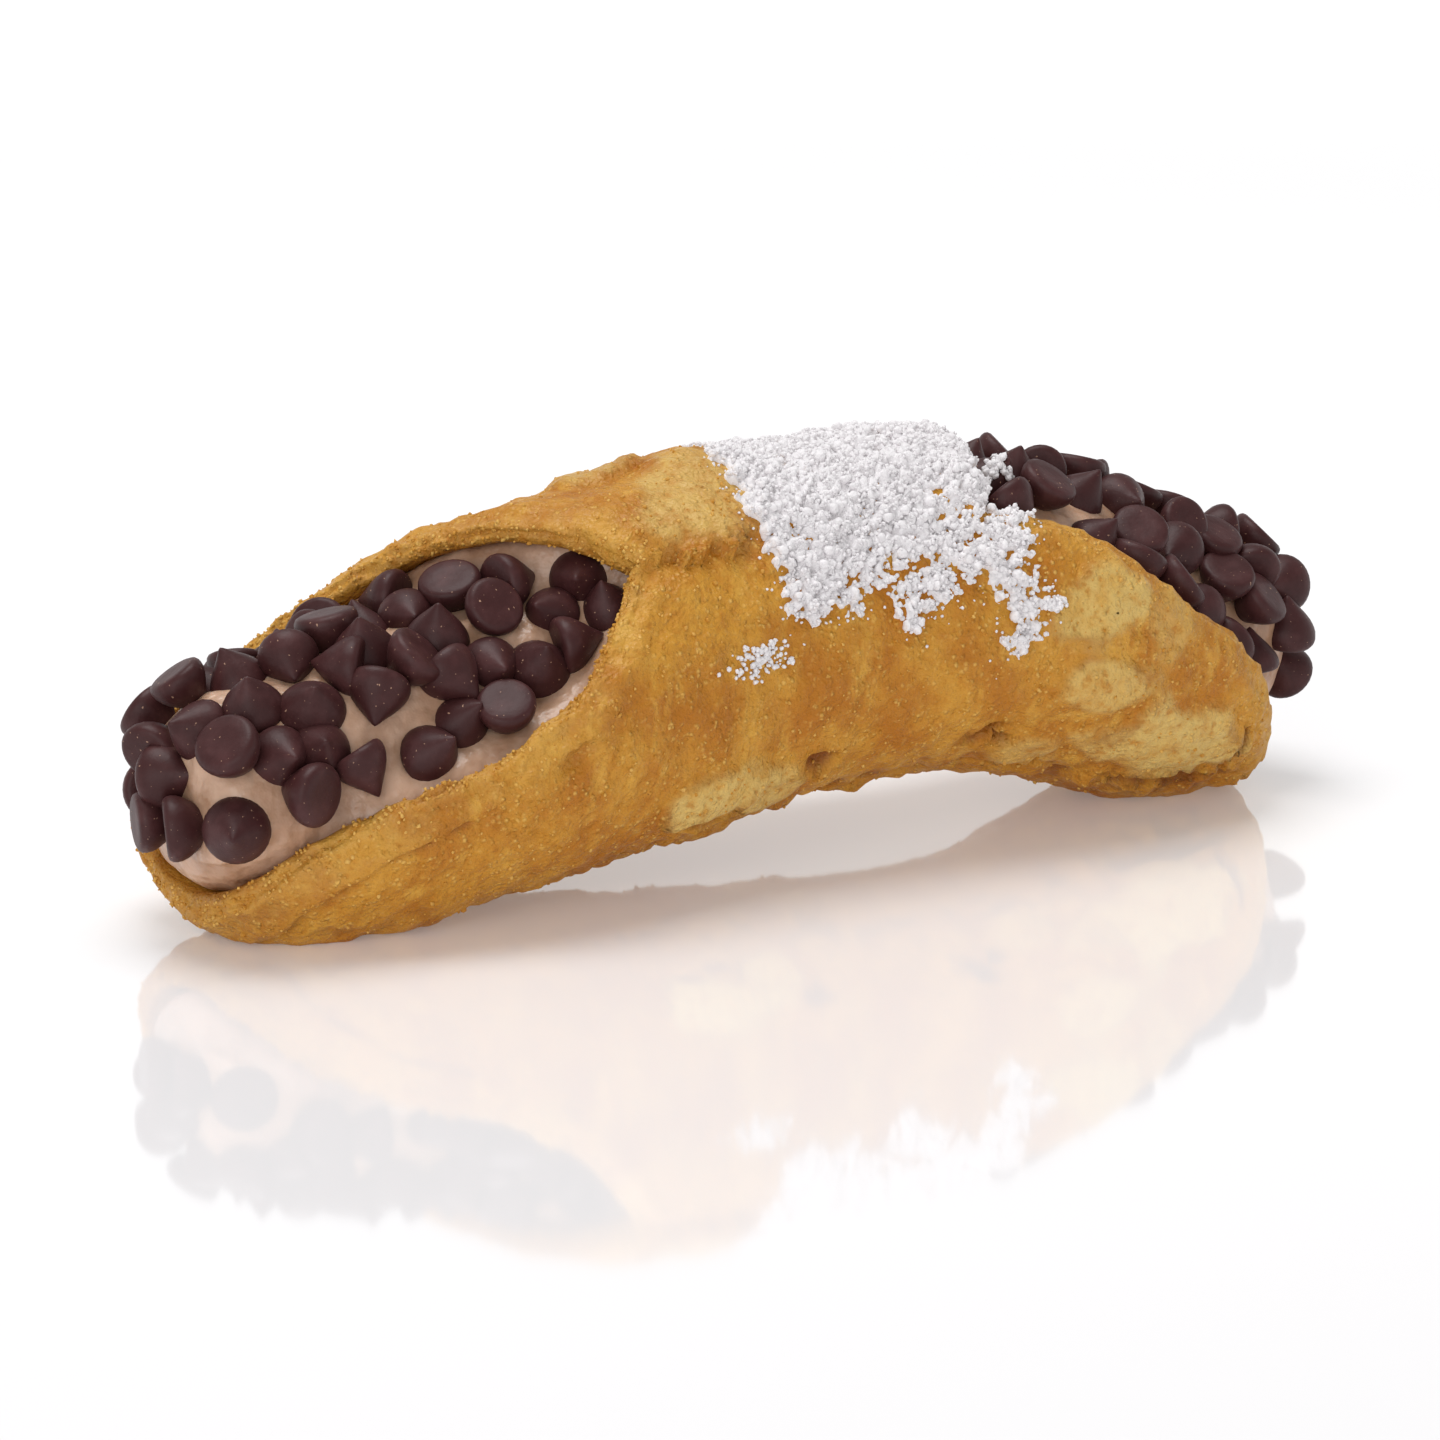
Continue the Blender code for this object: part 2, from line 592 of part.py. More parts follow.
def make_sugar(dimples, shell_tree, material):
    """The sugar skin: a lumpy top over an underside that keeps clear of the dough."""
    draw = random.Random(SUGAR_SEED)
    share = np.linspace(0.0, 1.0, SUGAR_COLUMNS + 1)
    span = SUGAR_RIGHT - SUGAR_LEFT
    across = np.linspace(0.0, 1.0, SUGAR_ROWS + 1)[:, None]
    front = np.radians(smooth_through(SUGAR_FRONT_AT, SUGAR_FRONT_DEGREES, SUGAR_LEFT + span * share))
    angle = front + (SUGAR_BACK - front) * across
    left = SUGAR_LEFT + SUGAR_SIDE_WAVE * np.sin(SUGAR_SIDE_WAVES * across)
    right = sugar_right_end(angle[:, -1])[:, None]
    u = left + (right - left) * share
    base = outer_radius(u, wrap(angle - tip_direction(u)), dimples) + SUGAR_GAP
    base = raise_clear(base, u, angle, shell_tree)
    inside = np.minimum(np.minimum(share, 1 - share), np.minimum(across, 1 - across))
    edge = np.clip(inside * SUGAR_ROWS / SUGAR_EDGE_QUADS, SUGAR_EDGE_LEAST, 1.0)
    lumps = np.array([[draw.random() for _ in share] for _ in across])
    thick = SUGAR_THIN + (SUGAR_THICK - SUGAR_THIN) * lumps * edge
    low = at(u, angle, base)
    high = at(u, angle, base + thick)
    rows, columns = u.shape
    count = rows * columns
    vertices = low.reshape(-1, 3).tolist() + high.reshape(-1, 3).tolist()
    faces = []
    for i in range(rows - 1):
        for j in range(columns - 1):
            quad = (i * columns + j, i * columns + j + 1, (i + 1) * columns + j + 1, (i + 1) * columns + j)
            faces.append(quad)
            faces.append(tuple(count + corner for corner in reversed(quad)))
    rim = list(range(columns))
    rim += [i * columns + columns - 1 for i in range(1, rows)]
    rim += [(rows - 1) * columns + j for j in range(columns - 2, -1, -1)]
    rim += [i * columns for i in range(rows - 2, 0, -1)]
    for corner, following in zip(rim, rim[1:] + rim[:1]):
        faces.append((corner, corner + count, following + count, following))
    return new_object("powdered_sugar", vertices, faces, material)


def main():
    crust = plain_material("fried_dough", CRUST_COLOUR, CRUST_ROUGHNESS)
    cream = plain_material("cream", CREAM_COLOUR, CREAM_ROUGHNESS)
    sugar = plain_material("sugar", SUGAR_COLOUR, SUGAR_ROUGHNESS)
    dimples = make_dimples()
    shell_body = make_shell(dimples, crust)
    shell_tree = BVHTree.FromObject(shell_body, bpy.context.evaluated_depsgraph_get())
    cream_body = make_cream(cream)
    matrices = place_drops(cream_body, shell_tree)
    fuse_drops(cream_body, matrices)
    make_sugar(dimples, shell_tree, sugar)


main()
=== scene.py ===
"""Looks of the cannolo: fine crust, cream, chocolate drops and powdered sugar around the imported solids.

The wrapped tube is described as in the part: u runs along X, phi round the tube from the line through both
tips, and an angle is measured from straight down towards the front (-Y).
"""
import math
import random

import bmesh
import bpy
import numpy as np
from mathutils import Matrix, Vector
from mathutils.bvhtree import BVHTree
from mathutils.kdtree import KDTree


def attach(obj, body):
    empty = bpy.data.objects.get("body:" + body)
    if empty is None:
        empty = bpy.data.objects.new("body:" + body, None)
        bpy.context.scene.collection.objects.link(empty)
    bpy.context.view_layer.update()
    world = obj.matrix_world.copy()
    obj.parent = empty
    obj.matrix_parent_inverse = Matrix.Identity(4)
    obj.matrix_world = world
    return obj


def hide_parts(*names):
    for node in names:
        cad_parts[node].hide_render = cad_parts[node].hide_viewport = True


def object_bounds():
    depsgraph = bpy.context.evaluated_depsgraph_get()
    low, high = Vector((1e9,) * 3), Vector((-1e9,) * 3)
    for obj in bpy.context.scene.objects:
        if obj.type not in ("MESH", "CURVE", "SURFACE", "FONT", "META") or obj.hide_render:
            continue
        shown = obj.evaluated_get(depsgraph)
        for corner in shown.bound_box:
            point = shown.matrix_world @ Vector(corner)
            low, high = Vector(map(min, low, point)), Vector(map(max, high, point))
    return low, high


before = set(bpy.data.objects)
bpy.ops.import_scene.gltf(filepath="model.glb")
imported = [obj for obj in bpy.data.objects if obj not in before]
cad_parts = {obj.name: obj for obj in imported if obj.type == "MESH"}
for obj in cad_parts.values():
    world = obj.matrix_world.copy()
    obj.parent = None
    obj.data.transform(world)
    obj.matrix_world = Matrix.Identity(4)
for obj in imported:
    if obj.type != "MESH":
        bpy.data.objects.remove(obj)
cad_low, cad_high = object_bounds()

MM = 0.001


def to_metres(rows, *plain):
    """Rows given in millimetres turned to metres, apart from the columns numbered in plain."""
    return tuple(tuple(v if k in plain else v * MM for k, v in enumerate(row)) for row in rows)


# The wrapped dough tube, with the same driving dimensions as the solids.
STATIONS, CENTRE_BACK, CENTRE_HEIGHT, TUBE_RADIUS = to_metres((
    (-60.0, -30.0, 0.0, 30.0, 60.0),
    (0.0, 0.0, 2.5, 0.0, 0.0),
    (17.6, 18.7, 22.0, 22.5, 22.1),
    (14.5, 17.8, 17.7, 17.9, 20.2),
))
SQUASH = -0.176
SQUASH_START = 15.0 * MM
SQUASH_LENGTH = 45.0 * MM
SQUASH_MOST = 1.5
WALL = 3.0 * MM
LIP_ROUND = 0.8 * MM
LIP_DEPTHS = (0.2, 0.8)
INNER_FOLLOWS = 0.5

LEFT_TIP = -58.5 * MM
RIGHT_TIP = 66.0 * MM
LEFT_NOTCH = -16.5 * MM
RIGHT_NOTCH = 22.0 * MM
TIP_TURN = math.radians(-45.0)
TIP_TWIST = math.radians(-8.0)
TWIST_LENGTH = 60.0 * MM
RIM_KNOTS = (0.0, 0.22, 0.5, 0.75, 1.0)
# Reach of each rim at the knots, by side: 1 is the front, -1 the back.
LEFT_RIMS = {1: (1.0, 0.904, 0.937, 1.114, 1.406), -1: (1.0, 0.857, 0.726, 0.69, 1.0)}
RIGHT_RIMS = {1: (1.0, 1.081, 1.105, 1.227, 1.135), -1: (1.0, 0.47, 0.55, 0.72, 1.0)}

FLAP_STEP = 1.5 * MM
FLAP_WIDTH = math.radians(55.0)
FLAP_FADE_START = -8.0 * MM
FLAP_FADE_END = 0.0
FLAP_REST = 0.25

# Fried relief, blisters, heels and pits: along, angle in degrees, half length, half width, height.
RELIEF = to_metres((
    (-50.0, -2.0, 13.0, 14.0, 2.8),
    (50.0, -3.0, 13.0, 16.0, 4.0),
    (19.0, 18.0, 12.0, 11.0, -1.6),
    (-8.0, 47.0, 8.0, 6.0, 1.3),
    (3.0, 46.0, 3.0, 3.0, 0.8),
    (43.5, 50.0, 9.0, 5.5, 1.2),
    (33.0, 70.0, 4.5, 3.5, 0.7),
    (34.0, 99.0, 7.0, 5.0, 0.8),
    (-40.0, 29.0, 6.0, 4.0, 0.9),
    (-5.0, 176.0, 5.5, 6.0, 1.6),
    (-28.0, 84.0, 2.6, 2.0, -0.9),
    (22.5, 53.0, 3.4, 2.6, -1.1),
    (-12.5, 137.0, 2.4, 2.0, -0.9),
    (8.0, 250.0, 8.0, 6.0, 1.1),
    (-30.0, 300.0, 7.0, 5.0, 0.9),
    (38.0, 290.0, 9.0, 6.0, 1.2),
), 1)
BROAD_FORMS = 3
DIMPLE_COUNT = 70
DIMPLE_SIZE = (3.0 * MM, 6.5 * MM)
DIMPLE_HEIGHT = 0.4 * MM
DIMPLE_SEED = 11

COARSE_ROWS = 40
COARSE_COLUMNS = 34
COARSE_INNER_STEP = 2
SEAM_COLUMN = 0.007
CURVE_SAMPLES = 200
SHORTEST = 1e-12

CREAM_GAP = 0.68 * MM
MOUTH_CREAM_RADIUS = (11.1 * MM, 13.8 * MM)
MOUTH_TAPER = (0.8 * MM, 2.6 * MM)
MOUTH_CREAM_DROP = 3.4 * MM
MOUTH_CREAM_FORWARD = 1.0 * MM
MOUTH_DEPTH = 3.0 * MM
MOUTH_SWELL = 4.0 * MM
MOUTH_REACH = 22.0 * MM
TAPER_START = 34.0 * MM
TAPER_LENGTH = 26.0 * MM
OPEN_BLEND = 0.35
CREAM_LEFT_END = -60.0 * MM
CREAM_RIGHT_END = 67.5 * MM
END_SAG = (3.0 * MM, 5.0 * MM)
END_SAG_START = 38.0 * MM
END_SAG_LENGTH = 24.0 * MM
CAP_LENGTH = (6.5 * MM, 10.0 * MM)
CAP_POWER = (3.2, 2.8)
CREAM_END_CROWDING = 0.4
COARSE_CREAM_ROWS = 40
COARSE_CREAM_COLUMNS = 26
RAY_ROUNDS = 3

DROP_RADIUS = 2.95 * MM
DROP_HEIGHT = 5.0 * MM
COARSE_DROP_PROFILE = ((0.88, 0.0), (1.0, 0.18), (0.60, 0.62))
COARSE_DROP_SIDES = 7
WIDE_SPACINGS = (5.1 * MM, 4.6 * MM, 4.1 * MM)
CLOSE_SPACING = 3.8 * MM
DROP_PASSES = [(side, spacing) for side in (-1, 1) for spacing in WIDE_SPACINGS] + [(-1, CLOSE_SPACING)]
DROP_LOWEST_FACING = -0.12
DROP_CLEARANCE = 0.4 * MM
DROP_GUARD = 1.1
DROP_SIZES = (0.93, 1.07)
DROP_SEED = 42
DROP_TRIES = 12000
# Share of the drops, tilt from and to in degrees, lift, and how much of the height the pose swallows.
DROP_POSES = to_metres((
    (0.38, 180.0, 130.0, 1.3, 0.4),
    (0.34, 65.0, 110.0, 0.9, 0.4),
    (0.28, 0.0, 40.0, -1.2, 0.0),
), 0, 1, 2, 4)
MOUTH_VIEW = 30.0 * MM

SHIFT_X = -3.42 * MM
SHIFT_Y = -0.61 * MM

# Fine crust: its mesh, crisp blisters (along, degrees, half length, half width, height, paleness) and torn
# pits (along, degrees, half length, half width, depth).
CRUST_ROWS = 312
CRUST_COLUMNS = 256
CRUST_LIP_LOOPS = 9
CRUST_INNER_STEP = 12
CRUST_BOX_MARGIN = 0.05 * MM
BLISTERS = to_metres((
    (43.6, 49.0, 8.0, 4.4, 0.5, 1.0),
    (32.9, 71.0, 4.4, 2.6, 0.3, 0.8),
    (33.2, 99.0, 5.4, 4.0, 0.4, 0.95),
    (40.5, 92.0, 3.6, 3.4, 0.25, 0.5),
    (-11.2, 57.0, 4.8, 2.9, 0.7, 1.0),
    (-3.4, 50.0, 3.6, 2.6, 0.6, 0.9),
    (-7.5, 156.0, 6.5, 7.0, 0.0, 0.75),
    (27.0, 40.0, 3.6, 2.4, 0.35, 0.6),
    (-13.5, 190.0, 4.6, 3.4, 0.9, 0.6),
    (30.0, 250.0, 7.0, 4.5, 0.4, 0.5),
    (-20.0, 270.0, 6.0, 5.0, 0.4, 0.45),
    (5.0, 300.0, 8.0, 4.0, 0.35, 0.45),
    (52.0, 320.0, 6.0, 4.0, 0.35, 0.5),
), 1, 5)
PITS = to_metres((
    (-28.2, 84.0, 1.3, 0.9, 0.25),
    (-26.4, 87.0, 0.8, 0.6, 0.2),
    (22.5, 54.0, 1.3, 1.2, 1.1),
    (24.0, 48.0, 0.9, 0.8, 0.8),
    (20.8, 49.0, 0.7, 0.7, 0.6),
    (47.6, 31.0, 6.0, 0.8, 1.7),
    (42.6, 29.0, 2.6, 0.5, 0.7),
    (52.4, 44.0, 0.6, 3.0, 0.9),
    (-8.3, 43.0, 2.2, 0.8, 0.8),
    (2.6, 54.0, 2.0, 0.9, 0.9),
    (-12.8, 47.0, 1.4, 0.6, 0.6),
    (15.0, 262.0, 1.5, 1.2, 0.7),
    (-8.0, 318.0, 1.6, 1.0, 0.7),
), 1)
PORE_COUNT = 700
PORE_SIZE = (0.4 * MM, 0.95 * MM)
PORE_DEPTH = (-0.36 * MM, 0.30 * MM)
PORE_REACH = 3
PORE_SEED = 5

# Layers of seeded noise: size of the lumps, height or share, seed.
RAGGED = to_metres(((2.2, 0.6, 1), (0.9, 0.4, 2)), 1, 2)
WAVY = to_metres(((4.5, 1.0, 3),), 1, 2)
CRUST_NOISE = to_metres(((7.0, 0.22, 10), (3.2, 0.16, 11), (1.7, 0.12, 12), (0.95, 0.11, 13)), 2)
INSIDE_NOISE = to_metres(((2.5, 0.1, 31),), 2)
LIP_UNEVEN = to_metres(((4.0, 1.0, 21),), 1, 2)
LIP_NOISE = to_metres(((2.4, 0.28, 22), (1.0, 0.3, 23)), 2)

# How far the ragged and wavy noise move a blister's edge, the softness of that edge, and the ridge round
# it: width, its least share, the share that the noise adds, its height beside the blister's, its toasting.
BLISTER_WANDER = (0.12, 0.26)
BLISTER_EDGE = 0.22
BLISTER_RIDGE = (0.10, 0.4, 0.8, 0.7, 0.5)
# A pit's edge and its softness, how far the noise moves it, and the burr round it: height, place, width.
PIT_EDGE = (1.35, 0.7)
PIT_WANDER = 0.35
PIT_BURR = (0.35, 1.6, 0.35)
# Depth at which a pit is fully darkened by painted shade.
PIT_SHADE_DEPTH = 0.9 * MM

# Crags along the lower front: from, full and to in degrees, size and height, the two layers' shares and
# how much finer the second is, the height that counts as level, the hollows' painted shade, and where they
# fade.
CRAG_ANGLES = (8.0, 26.0, 44.0)
CRAG_SIZE = 2.8 * MM
CRAG_SEEDS = (6, 7)
CRAG_HEIGHT = 0.6 * MM
CRAG_LAYERS = (1.4, 0.5, 2.2)
CRAG_LEVEL = 0.5
CRAG_HOLLOW_SHADE = (0.9, 2.2, 0.8)
CRAG_LEFT_SHARE = 0.4
CRAG_FULL_FROM = (-26.0 * MM, -14.0 * MM)

# The mouths' rims: roughness (size, height, reach, seed), bevel (depth, reach), rolled edge (height, place,
# width), the groove behind it (depth, place, width) with its wandering, breaks and painted shade, and the
# pale edge (share, reach).
RIM_ROUGH = (1.3 * MM, 0.20 * MM, 2.5 * MM, 8)
RIM_BEVEL = (0.85 * MM, 1.1 * MM)
RIM_ROLL = (0.22 * MM, 1.9 * MM, 0.7 * MM)
RIM_ROLL_WAVES = 0.8
RIM_GROOVE = (0.34 * MM, 3.1 * MM, 0.38 * MM)
RIM_GROOVE_WANDER = 0.22
RIM_GROOVE_BREAKS = (0.75, 1.4)
RIM_GROOVE_SHADE = 0.35
RIM_PALE = (0.22, 2.2 * MM)
RIM_PALE_NOISE = (0.8, 0.6)
RIM_BAND_FROM = (-28.0 * MM, -42.0 * MM)
RIM_BAND_LEAST = 0.2
# Painted shade over the whole inner skin, and on the lips growing towards their inner edges from the given
# depth.
INSIDE_SHADE = 0.35
LIP_INNER_SHADE = 0.30
LIP_INNER_SHADE_FROM = 0.4
LIP_PALE = 0.22
LIP_FULLNESS = 0.55
LIP_UNEVEN_SHARE = 0.35
LIP_CREASE = (0.45, 0.10)
LIP_CREASE_DEPTH = 0.55 * MM
LIP_CREASE_NOISE = (0.8, 0.6)
TORN_EDGE = math.radians(4.0)
TORN_SOFTNESS = math.radians(1.6)


def smooth_through(knots, values, x):
    """Smooth curve through the values at the knots."""
    knots = np.asarray(knots, float)
    values = np.asarray(values, float)
    slopes = np.gradient(values, knots)
    x = np.asarray(x, float)
    k = np.clip(np.searchsorted(knots, x) - 1, 0, len(knots) - 2)
    width = knots[k + 1] - knots[k]
    t = (x - knots[k]) / width
    start = (1 + 2 * t) * (1 - t) ** 2 * values[k] + t * (1 - t) ** 2 * width * slopes[k]
    end = t * t * (3 - 2 * t) * values[k + 1] + t * t * (t - 1) * width * slopes[k + 1]
    return start + end


def smooth_step(x):
    """Rises from 0 to 1 as x goes from 0 to 1."""
    x = np.clip(x, 0.0, 1.0)
    return x * x * (3 - 2 * x)


def ramp(x, start, end):
    """Rises smoothly from 0 to 1 as x goes from start to end, which may be the lower one."""
    return smooth_step((x - start) / (end - start))


def bell(x, place, width):
    """A bump of height 1 at a place."""
    return np.exp(-(((x - place) / width) ** 2))


def unit(vectors):
    """The vectors at length 1."""
    return vectors / np.maximum(np.linalg.norm(vectors, axis=-1, keepdims=True), SHORTEST)


def tip_direction(u):
    """Angle of the line through both tips of the round, opposite the seam."""
    return TIP_TURN + TIP_TWIST * u / TWIST_LENGTH


def rim_turn(u, side):
    """How far the dough reaches from the tip line at u: side 1 is the front, -1 the back."""
    left = (LEFT_NOTCH - u) / (LEFT_NOTCH - LEFT_TIP)
    right = (u - RIGHT_NOTCH) / (RIGHT_TIP - RIGHT_NOTCH)
    reach = 1.0
    for share, factors in ((left, LEFT_RIMS[side]), (right, RIGHT_RIMS[side])):
        share = np.clip(share, 0.0, 1.0)
        reach = np.minimum(reach, smooth_through(RIM_KNOTS, factors, share) * np.sqrt(1 - share))
    return math.pi * reach


def tube_radius(u, angle):
    """Outer radius of the plain tube, flattened towards the front at the left mouth."""
    squash = SQUASH * np.clip((-u - SQUASH_START) / SQUASH_LENGTH, 0.0, SQUASH_MOST) ** 2
    return smooth_through(STATIONS, TUBE_RADIUS, u) * (1 + squash * np.sin(angle))


def wrap(angle):
    """The same angle between minus and plus half a turn."""
    return (angle + math.pi) % (2 * math.pi) - math.pi


def spot_place(u, angle, along, degrees, half_length, half_width):
    """Place beside a spot's middle, along and across, in its own half sizes."""
    across = wrap(angle - math.radians(degrees)) * smooth_through(STATIONS, TUBE_RADIUS, u)
    return (u - along) / half_length, across / half_width


def spot_bell(u, angle, *spot):
    """A round rise of height 1 at a spot."""
    a, b = spot_place(u, angle, *spot)
    return np.exp(-(a ** 2 + b ** 2))


def relief_height(u, angle, dimples):
    """Blisters, heels, pits and seeded dimples of the fried surface."""
    height = np.zeros_like(u)
    for *spot, rise in RELIEF:
        height = height + rise * spot_bell(u, angle, *spot)
    radius = smooth_through(STATIONS, TUBE_RADIUS, u)
    for along, turn, size, rise in dimples:
        across = wrap(angle - turn) * radius
        height = height + rise * np.exp(-((u - along) ** 2 + across ** 2) / size ** 2)
    return height


def flap_fade(u):
    """Share of the flap's step that is left at u."""
    return 1 - (1 - FLAP_REST) * ramp(u, FLAP_FADE_START, FLAP_FADE_END)


def flap_height(u, phi):
    """Extra height of the overlapping back edge; phi runs from the tip line, -pi at the step."""
    return FLAP_STEP * flap_fade(u) * smooth_step(1 - (phi + math.pi) / FLAP_WIDTH)


def at(u, angle, radius):
    """Points at a radius and angle round the centre line."""
    y = smooth_through(STATIONS, CENTRE_BACK, u) - radius * np.sin(angle) + SHIFT_Y
    z = smooth_through(STATIONS, CENTRE_HEIGHT, u) - radius * np.cos(angle)
    return np.stack([u + SHIFT_X, y, z], -1)


def make_dimples():
    """Seeded small swellings and hollows over the whole tube."""
    draw = random.Random(DIMPLE_SEED)
    dimples = []
    for _ in range(DIMPLE_COUNT):
        along = draw.uniform(LEFT_TIP, RIGHT_TIP)
        turn = draw.uniform(-math.pi, math.pi)
        size = draw.uniform(*DIMPLE_SIZE)
        rise = draw.uniform(-1.0, 1.0) * DIMPLE_HEIGHT
        dimples.append((along, turn, size, rise))
    return dimples


def outer_radius(u, phi, dimples):
    """Outer radius of the fried dough with its relief and the flap."""
    angle = phi + tip_direction(u)
    return tube_radius(u, angle) + relief_height(u, angle, dimples) + flap_height(u, phi)


def inner_radius(u, phi):
    """Inner radius of the dough, which half follows the broad forms of the underside."""
    angle = phi + tip_direction(u)
    broad = np.zeros_like(u)
    for *spot, rise in RELIEF[:BROAD_FORMS]:
        broad = broad + INNER_FOLLOWS * rise * spot_bell(u, angle, *spot)
    return tube_radius(u, angle) - WALL + broad


def mouth_curve(notch, tip, shares):
    """Edge of one mouth as (u, phi), from the back notch over the tip to the front notch."""
    sweep = np.sin(np.linspace(0.0, math.pi / 2, CURVE_SAMPLES))
    u = notch + (tip - notch) * sweep
    back = -rim_turn(u, -1)
    front = rim_turn(u, 1)
    curve_u = np.concatenate([u, u[::-1][1:]])
    curve_phi = np.concatenate([back, front[::-1][1:]])
    run = np.hypot(np.diff(curve_u), np.diff(curve_phi) * TUBE_RADIUS[1])
    length = np.concatenate([[0.0], np.cumsum(run)])
    length = length / length[-1]
    return np.interp(shares, length, curve_u), np.interp(shares, length, curve_phi)


def dough_grid(rows, columns, seam):
    """The (u, phi) grid of the wrapped round: rows from the left to the right mouth."""
    shares = np.linspace(0.0, 1.0 - seam, columns)
    left_u, left_phi = mouth_curve(LEFT_NOTCH, LEFT_TIP, shares)
    right_u, right_phi = mouth_curve(RIGHT_NOTCH, RIGHT_TIP, shares)
    row = np.linspace(0.0, 1.0, rows + 1)[:, None]
    return (1 - row) * left_u + row * right_u, (1 - row) * left_phi + row * right_phi


def lip_side(outer, inner, step_in):
    """Unit vectors that point out of a mouth's edge."""
    side = unit(np.cross(np.roll(outer, -1, axis=0) - np.roll(outer, 1, axis=0), outer - inner))
    return -side * np.sign(np.einsum("ij,ij->i", side, step_in))[:, None]


def coarse_lip(outer, inner, step_in, depth):
    """A loop of the solid's rounded lip."""
    loop = outer - (outer - inner) * depth + lip_side(outer, inner, step_in) * LIP_ROUND
    loop[:, 2] = np.maximum(loop[:, 2], 0.0)
    return loop


def tube_faces(start_a, start_b, count):
    """Quads between two closed loops of the same count."""
    j = np.arange(count)
    k = (j + 1) % count
    return np.stack([start_a + j, start_a + k, start_b + k, start_b + j], -1).tolist()


def wall_loops(outer, inner, lip, depths, inner_step):
    """Loops round the whole wall of the dough: outer skin, right lip, inner skin, left lip."""
    right = [lip(outer[-1], inner[-1], outer[-2] - outer[-1], depth) for depth in depths]
    left = [lip(outer[0], inner[0], outer[1] - outer[0], depth) for depth in depths[::-1]]
    return [*outer, *right, *inner[::-inner_step], *left]


def wall_faces(loops, columns):
    """Quads between a count of loops in order, the last joined to the first."""
    faces = []
    for k in range(loops):
        faces += tube_faces(k * columns, (k + 1) % loops * columns, columns)
    return faces


def new_object(name, vertices, faces, material=None):
    """A mesh object whose faces all look outwards."""
    mesh = bpy.data.meshes.new(name)
    mesh.from_pydata(np.asarray(vertices).tolist(), [], faces)
    mesh.update()
    shape = bmesh.new()
    shape.from_mesh(mesh)
    bmesh.ops.recalc_face_normals(shape, faces=shape.faces[:])
    shape.to_mesh(mesh)
    shape.free()
    body = bpy.data.objects.new(name, mesh)
    bpy.context.scene.collection.objects.link(body)
    if material is not None:
        mesh.materials.append(material)
        mesh.shade_smooth()
    return body


def coarse_shell(dimples):
    """The solid's own dough, for placing the drops as the solid has them."""
    u, phi = dough_grid(COARSE_ROWS, COARSE_COLUMNS, SEAM_COLUMN)
    outer = at(u, phi + tip_direction(u), outer_radius(u, phi, dimples))
    outer[..., 2] = np.maximum(outer[..., 2], 0.0)
    inner = at(u, phi + tip_direction(u), inner_radius(u, phi))
    loops = wall_loops(outer, inner, coarse_lip, LIP_DEPTHS, COARSE_INNER_STEP)
    return new_object("coarse_shell", np.concatenate(loops), wall_faces(len(loops), COARSE_COLUMNS))


def by_end(u, pair):
    """A pair's first value towards the left end and its second towards the right one."""
    return np.where(u < 0.0, *pair)


def past_rim(u, phi):
    """How far a turn lies past the rim of the dough at u, below zero where dough covers it."""
    return np.maximum(phi - rim_turn(u, 1), -phi - rim_turn(u, -1))


def cream_section(u, turn, gap):
    """Cream surface at one station: points on rays from a middle that sinks in the mouths."""
    in_mouth = smooth_step(np.maximum(LEFT_NOTCH - u, u - RIGHT_NOTCH) / MOUTH_REACH)
    to_end = np.minimum(u - CREAM_LEFT_END, CREAM_RIGHT_END - u)
    cap = 1 - np.minimum(to_end / by_end(u, CAP_LENGTH), 1.0)
    drop = MOUTH_CREAM_DROP * in_mouth
    sag = by_end(u, END_SAG) * smooth_step((np.abs(u) - END_SAG_START) / END_SAG_LENGTH)
    tip = tip_direction(u)
    middle_y = -drop * np.sin(tip) - MOUTH_CREAM_FORWARD * in_mouth
    middle_z = -drop * np.cos(tip) - sag
    ray_y = -np.sin(turn + tip)
    ray_z = -np.cos(turn + tip)
    along_ray = middle_y * ray_y + middle_z * ray_z
    phi = turn
    for _ in range(RAY_ROUNDS):
        wall = inner_radius(u, phi) - gap
        to_wall = -along_ray + np.sqrt(along_ray ** 2 - middle_y ** 2 - middle_z ** 2 + wall ** 2)
        hit_y = middle_y + to_wall * ray_y
        hit_z = middle_z + to_wall * ray_z
        phi = wrap(np.arctan2(-hit_y, -hit_z) - tip)
    outwards = by_end(u, (-MOUTH_DEPTH, MOUTH_DEPTH))
    taper = by_end(u, MOUTH_TAPER) * smooth_step((np.abs(u) - TAPER_START) / TAPER_LENGTH)
    side = by_end(u, MOUTH_CREAM_RADIUS) - taper
    to_side = side - to_wall
    sunk = np.minimum(to_side, 0.0) * smooth_step(past_rim(u + outwards, phi) / OPEN_BLEND)
    swollen = np.clip(to_side, 0.0, MOUTH_SWELL) * smooth_step(past_rim(u - outwards, phi) / OPEN_BLEND)
    reach = to_wall + sunk + swollen
    power = by_end(u, CAP_POWER)
    shrink = np.maximum(1 - cap ** power, 0.0) ** (1 / power)
    points = at(u, tip, np.zeros_like(u))
    points[..., 1] += middle_y + reach * shrink * ray_y
    points[..., 2] += middle_z + reach * shrink * ray_z
    return points


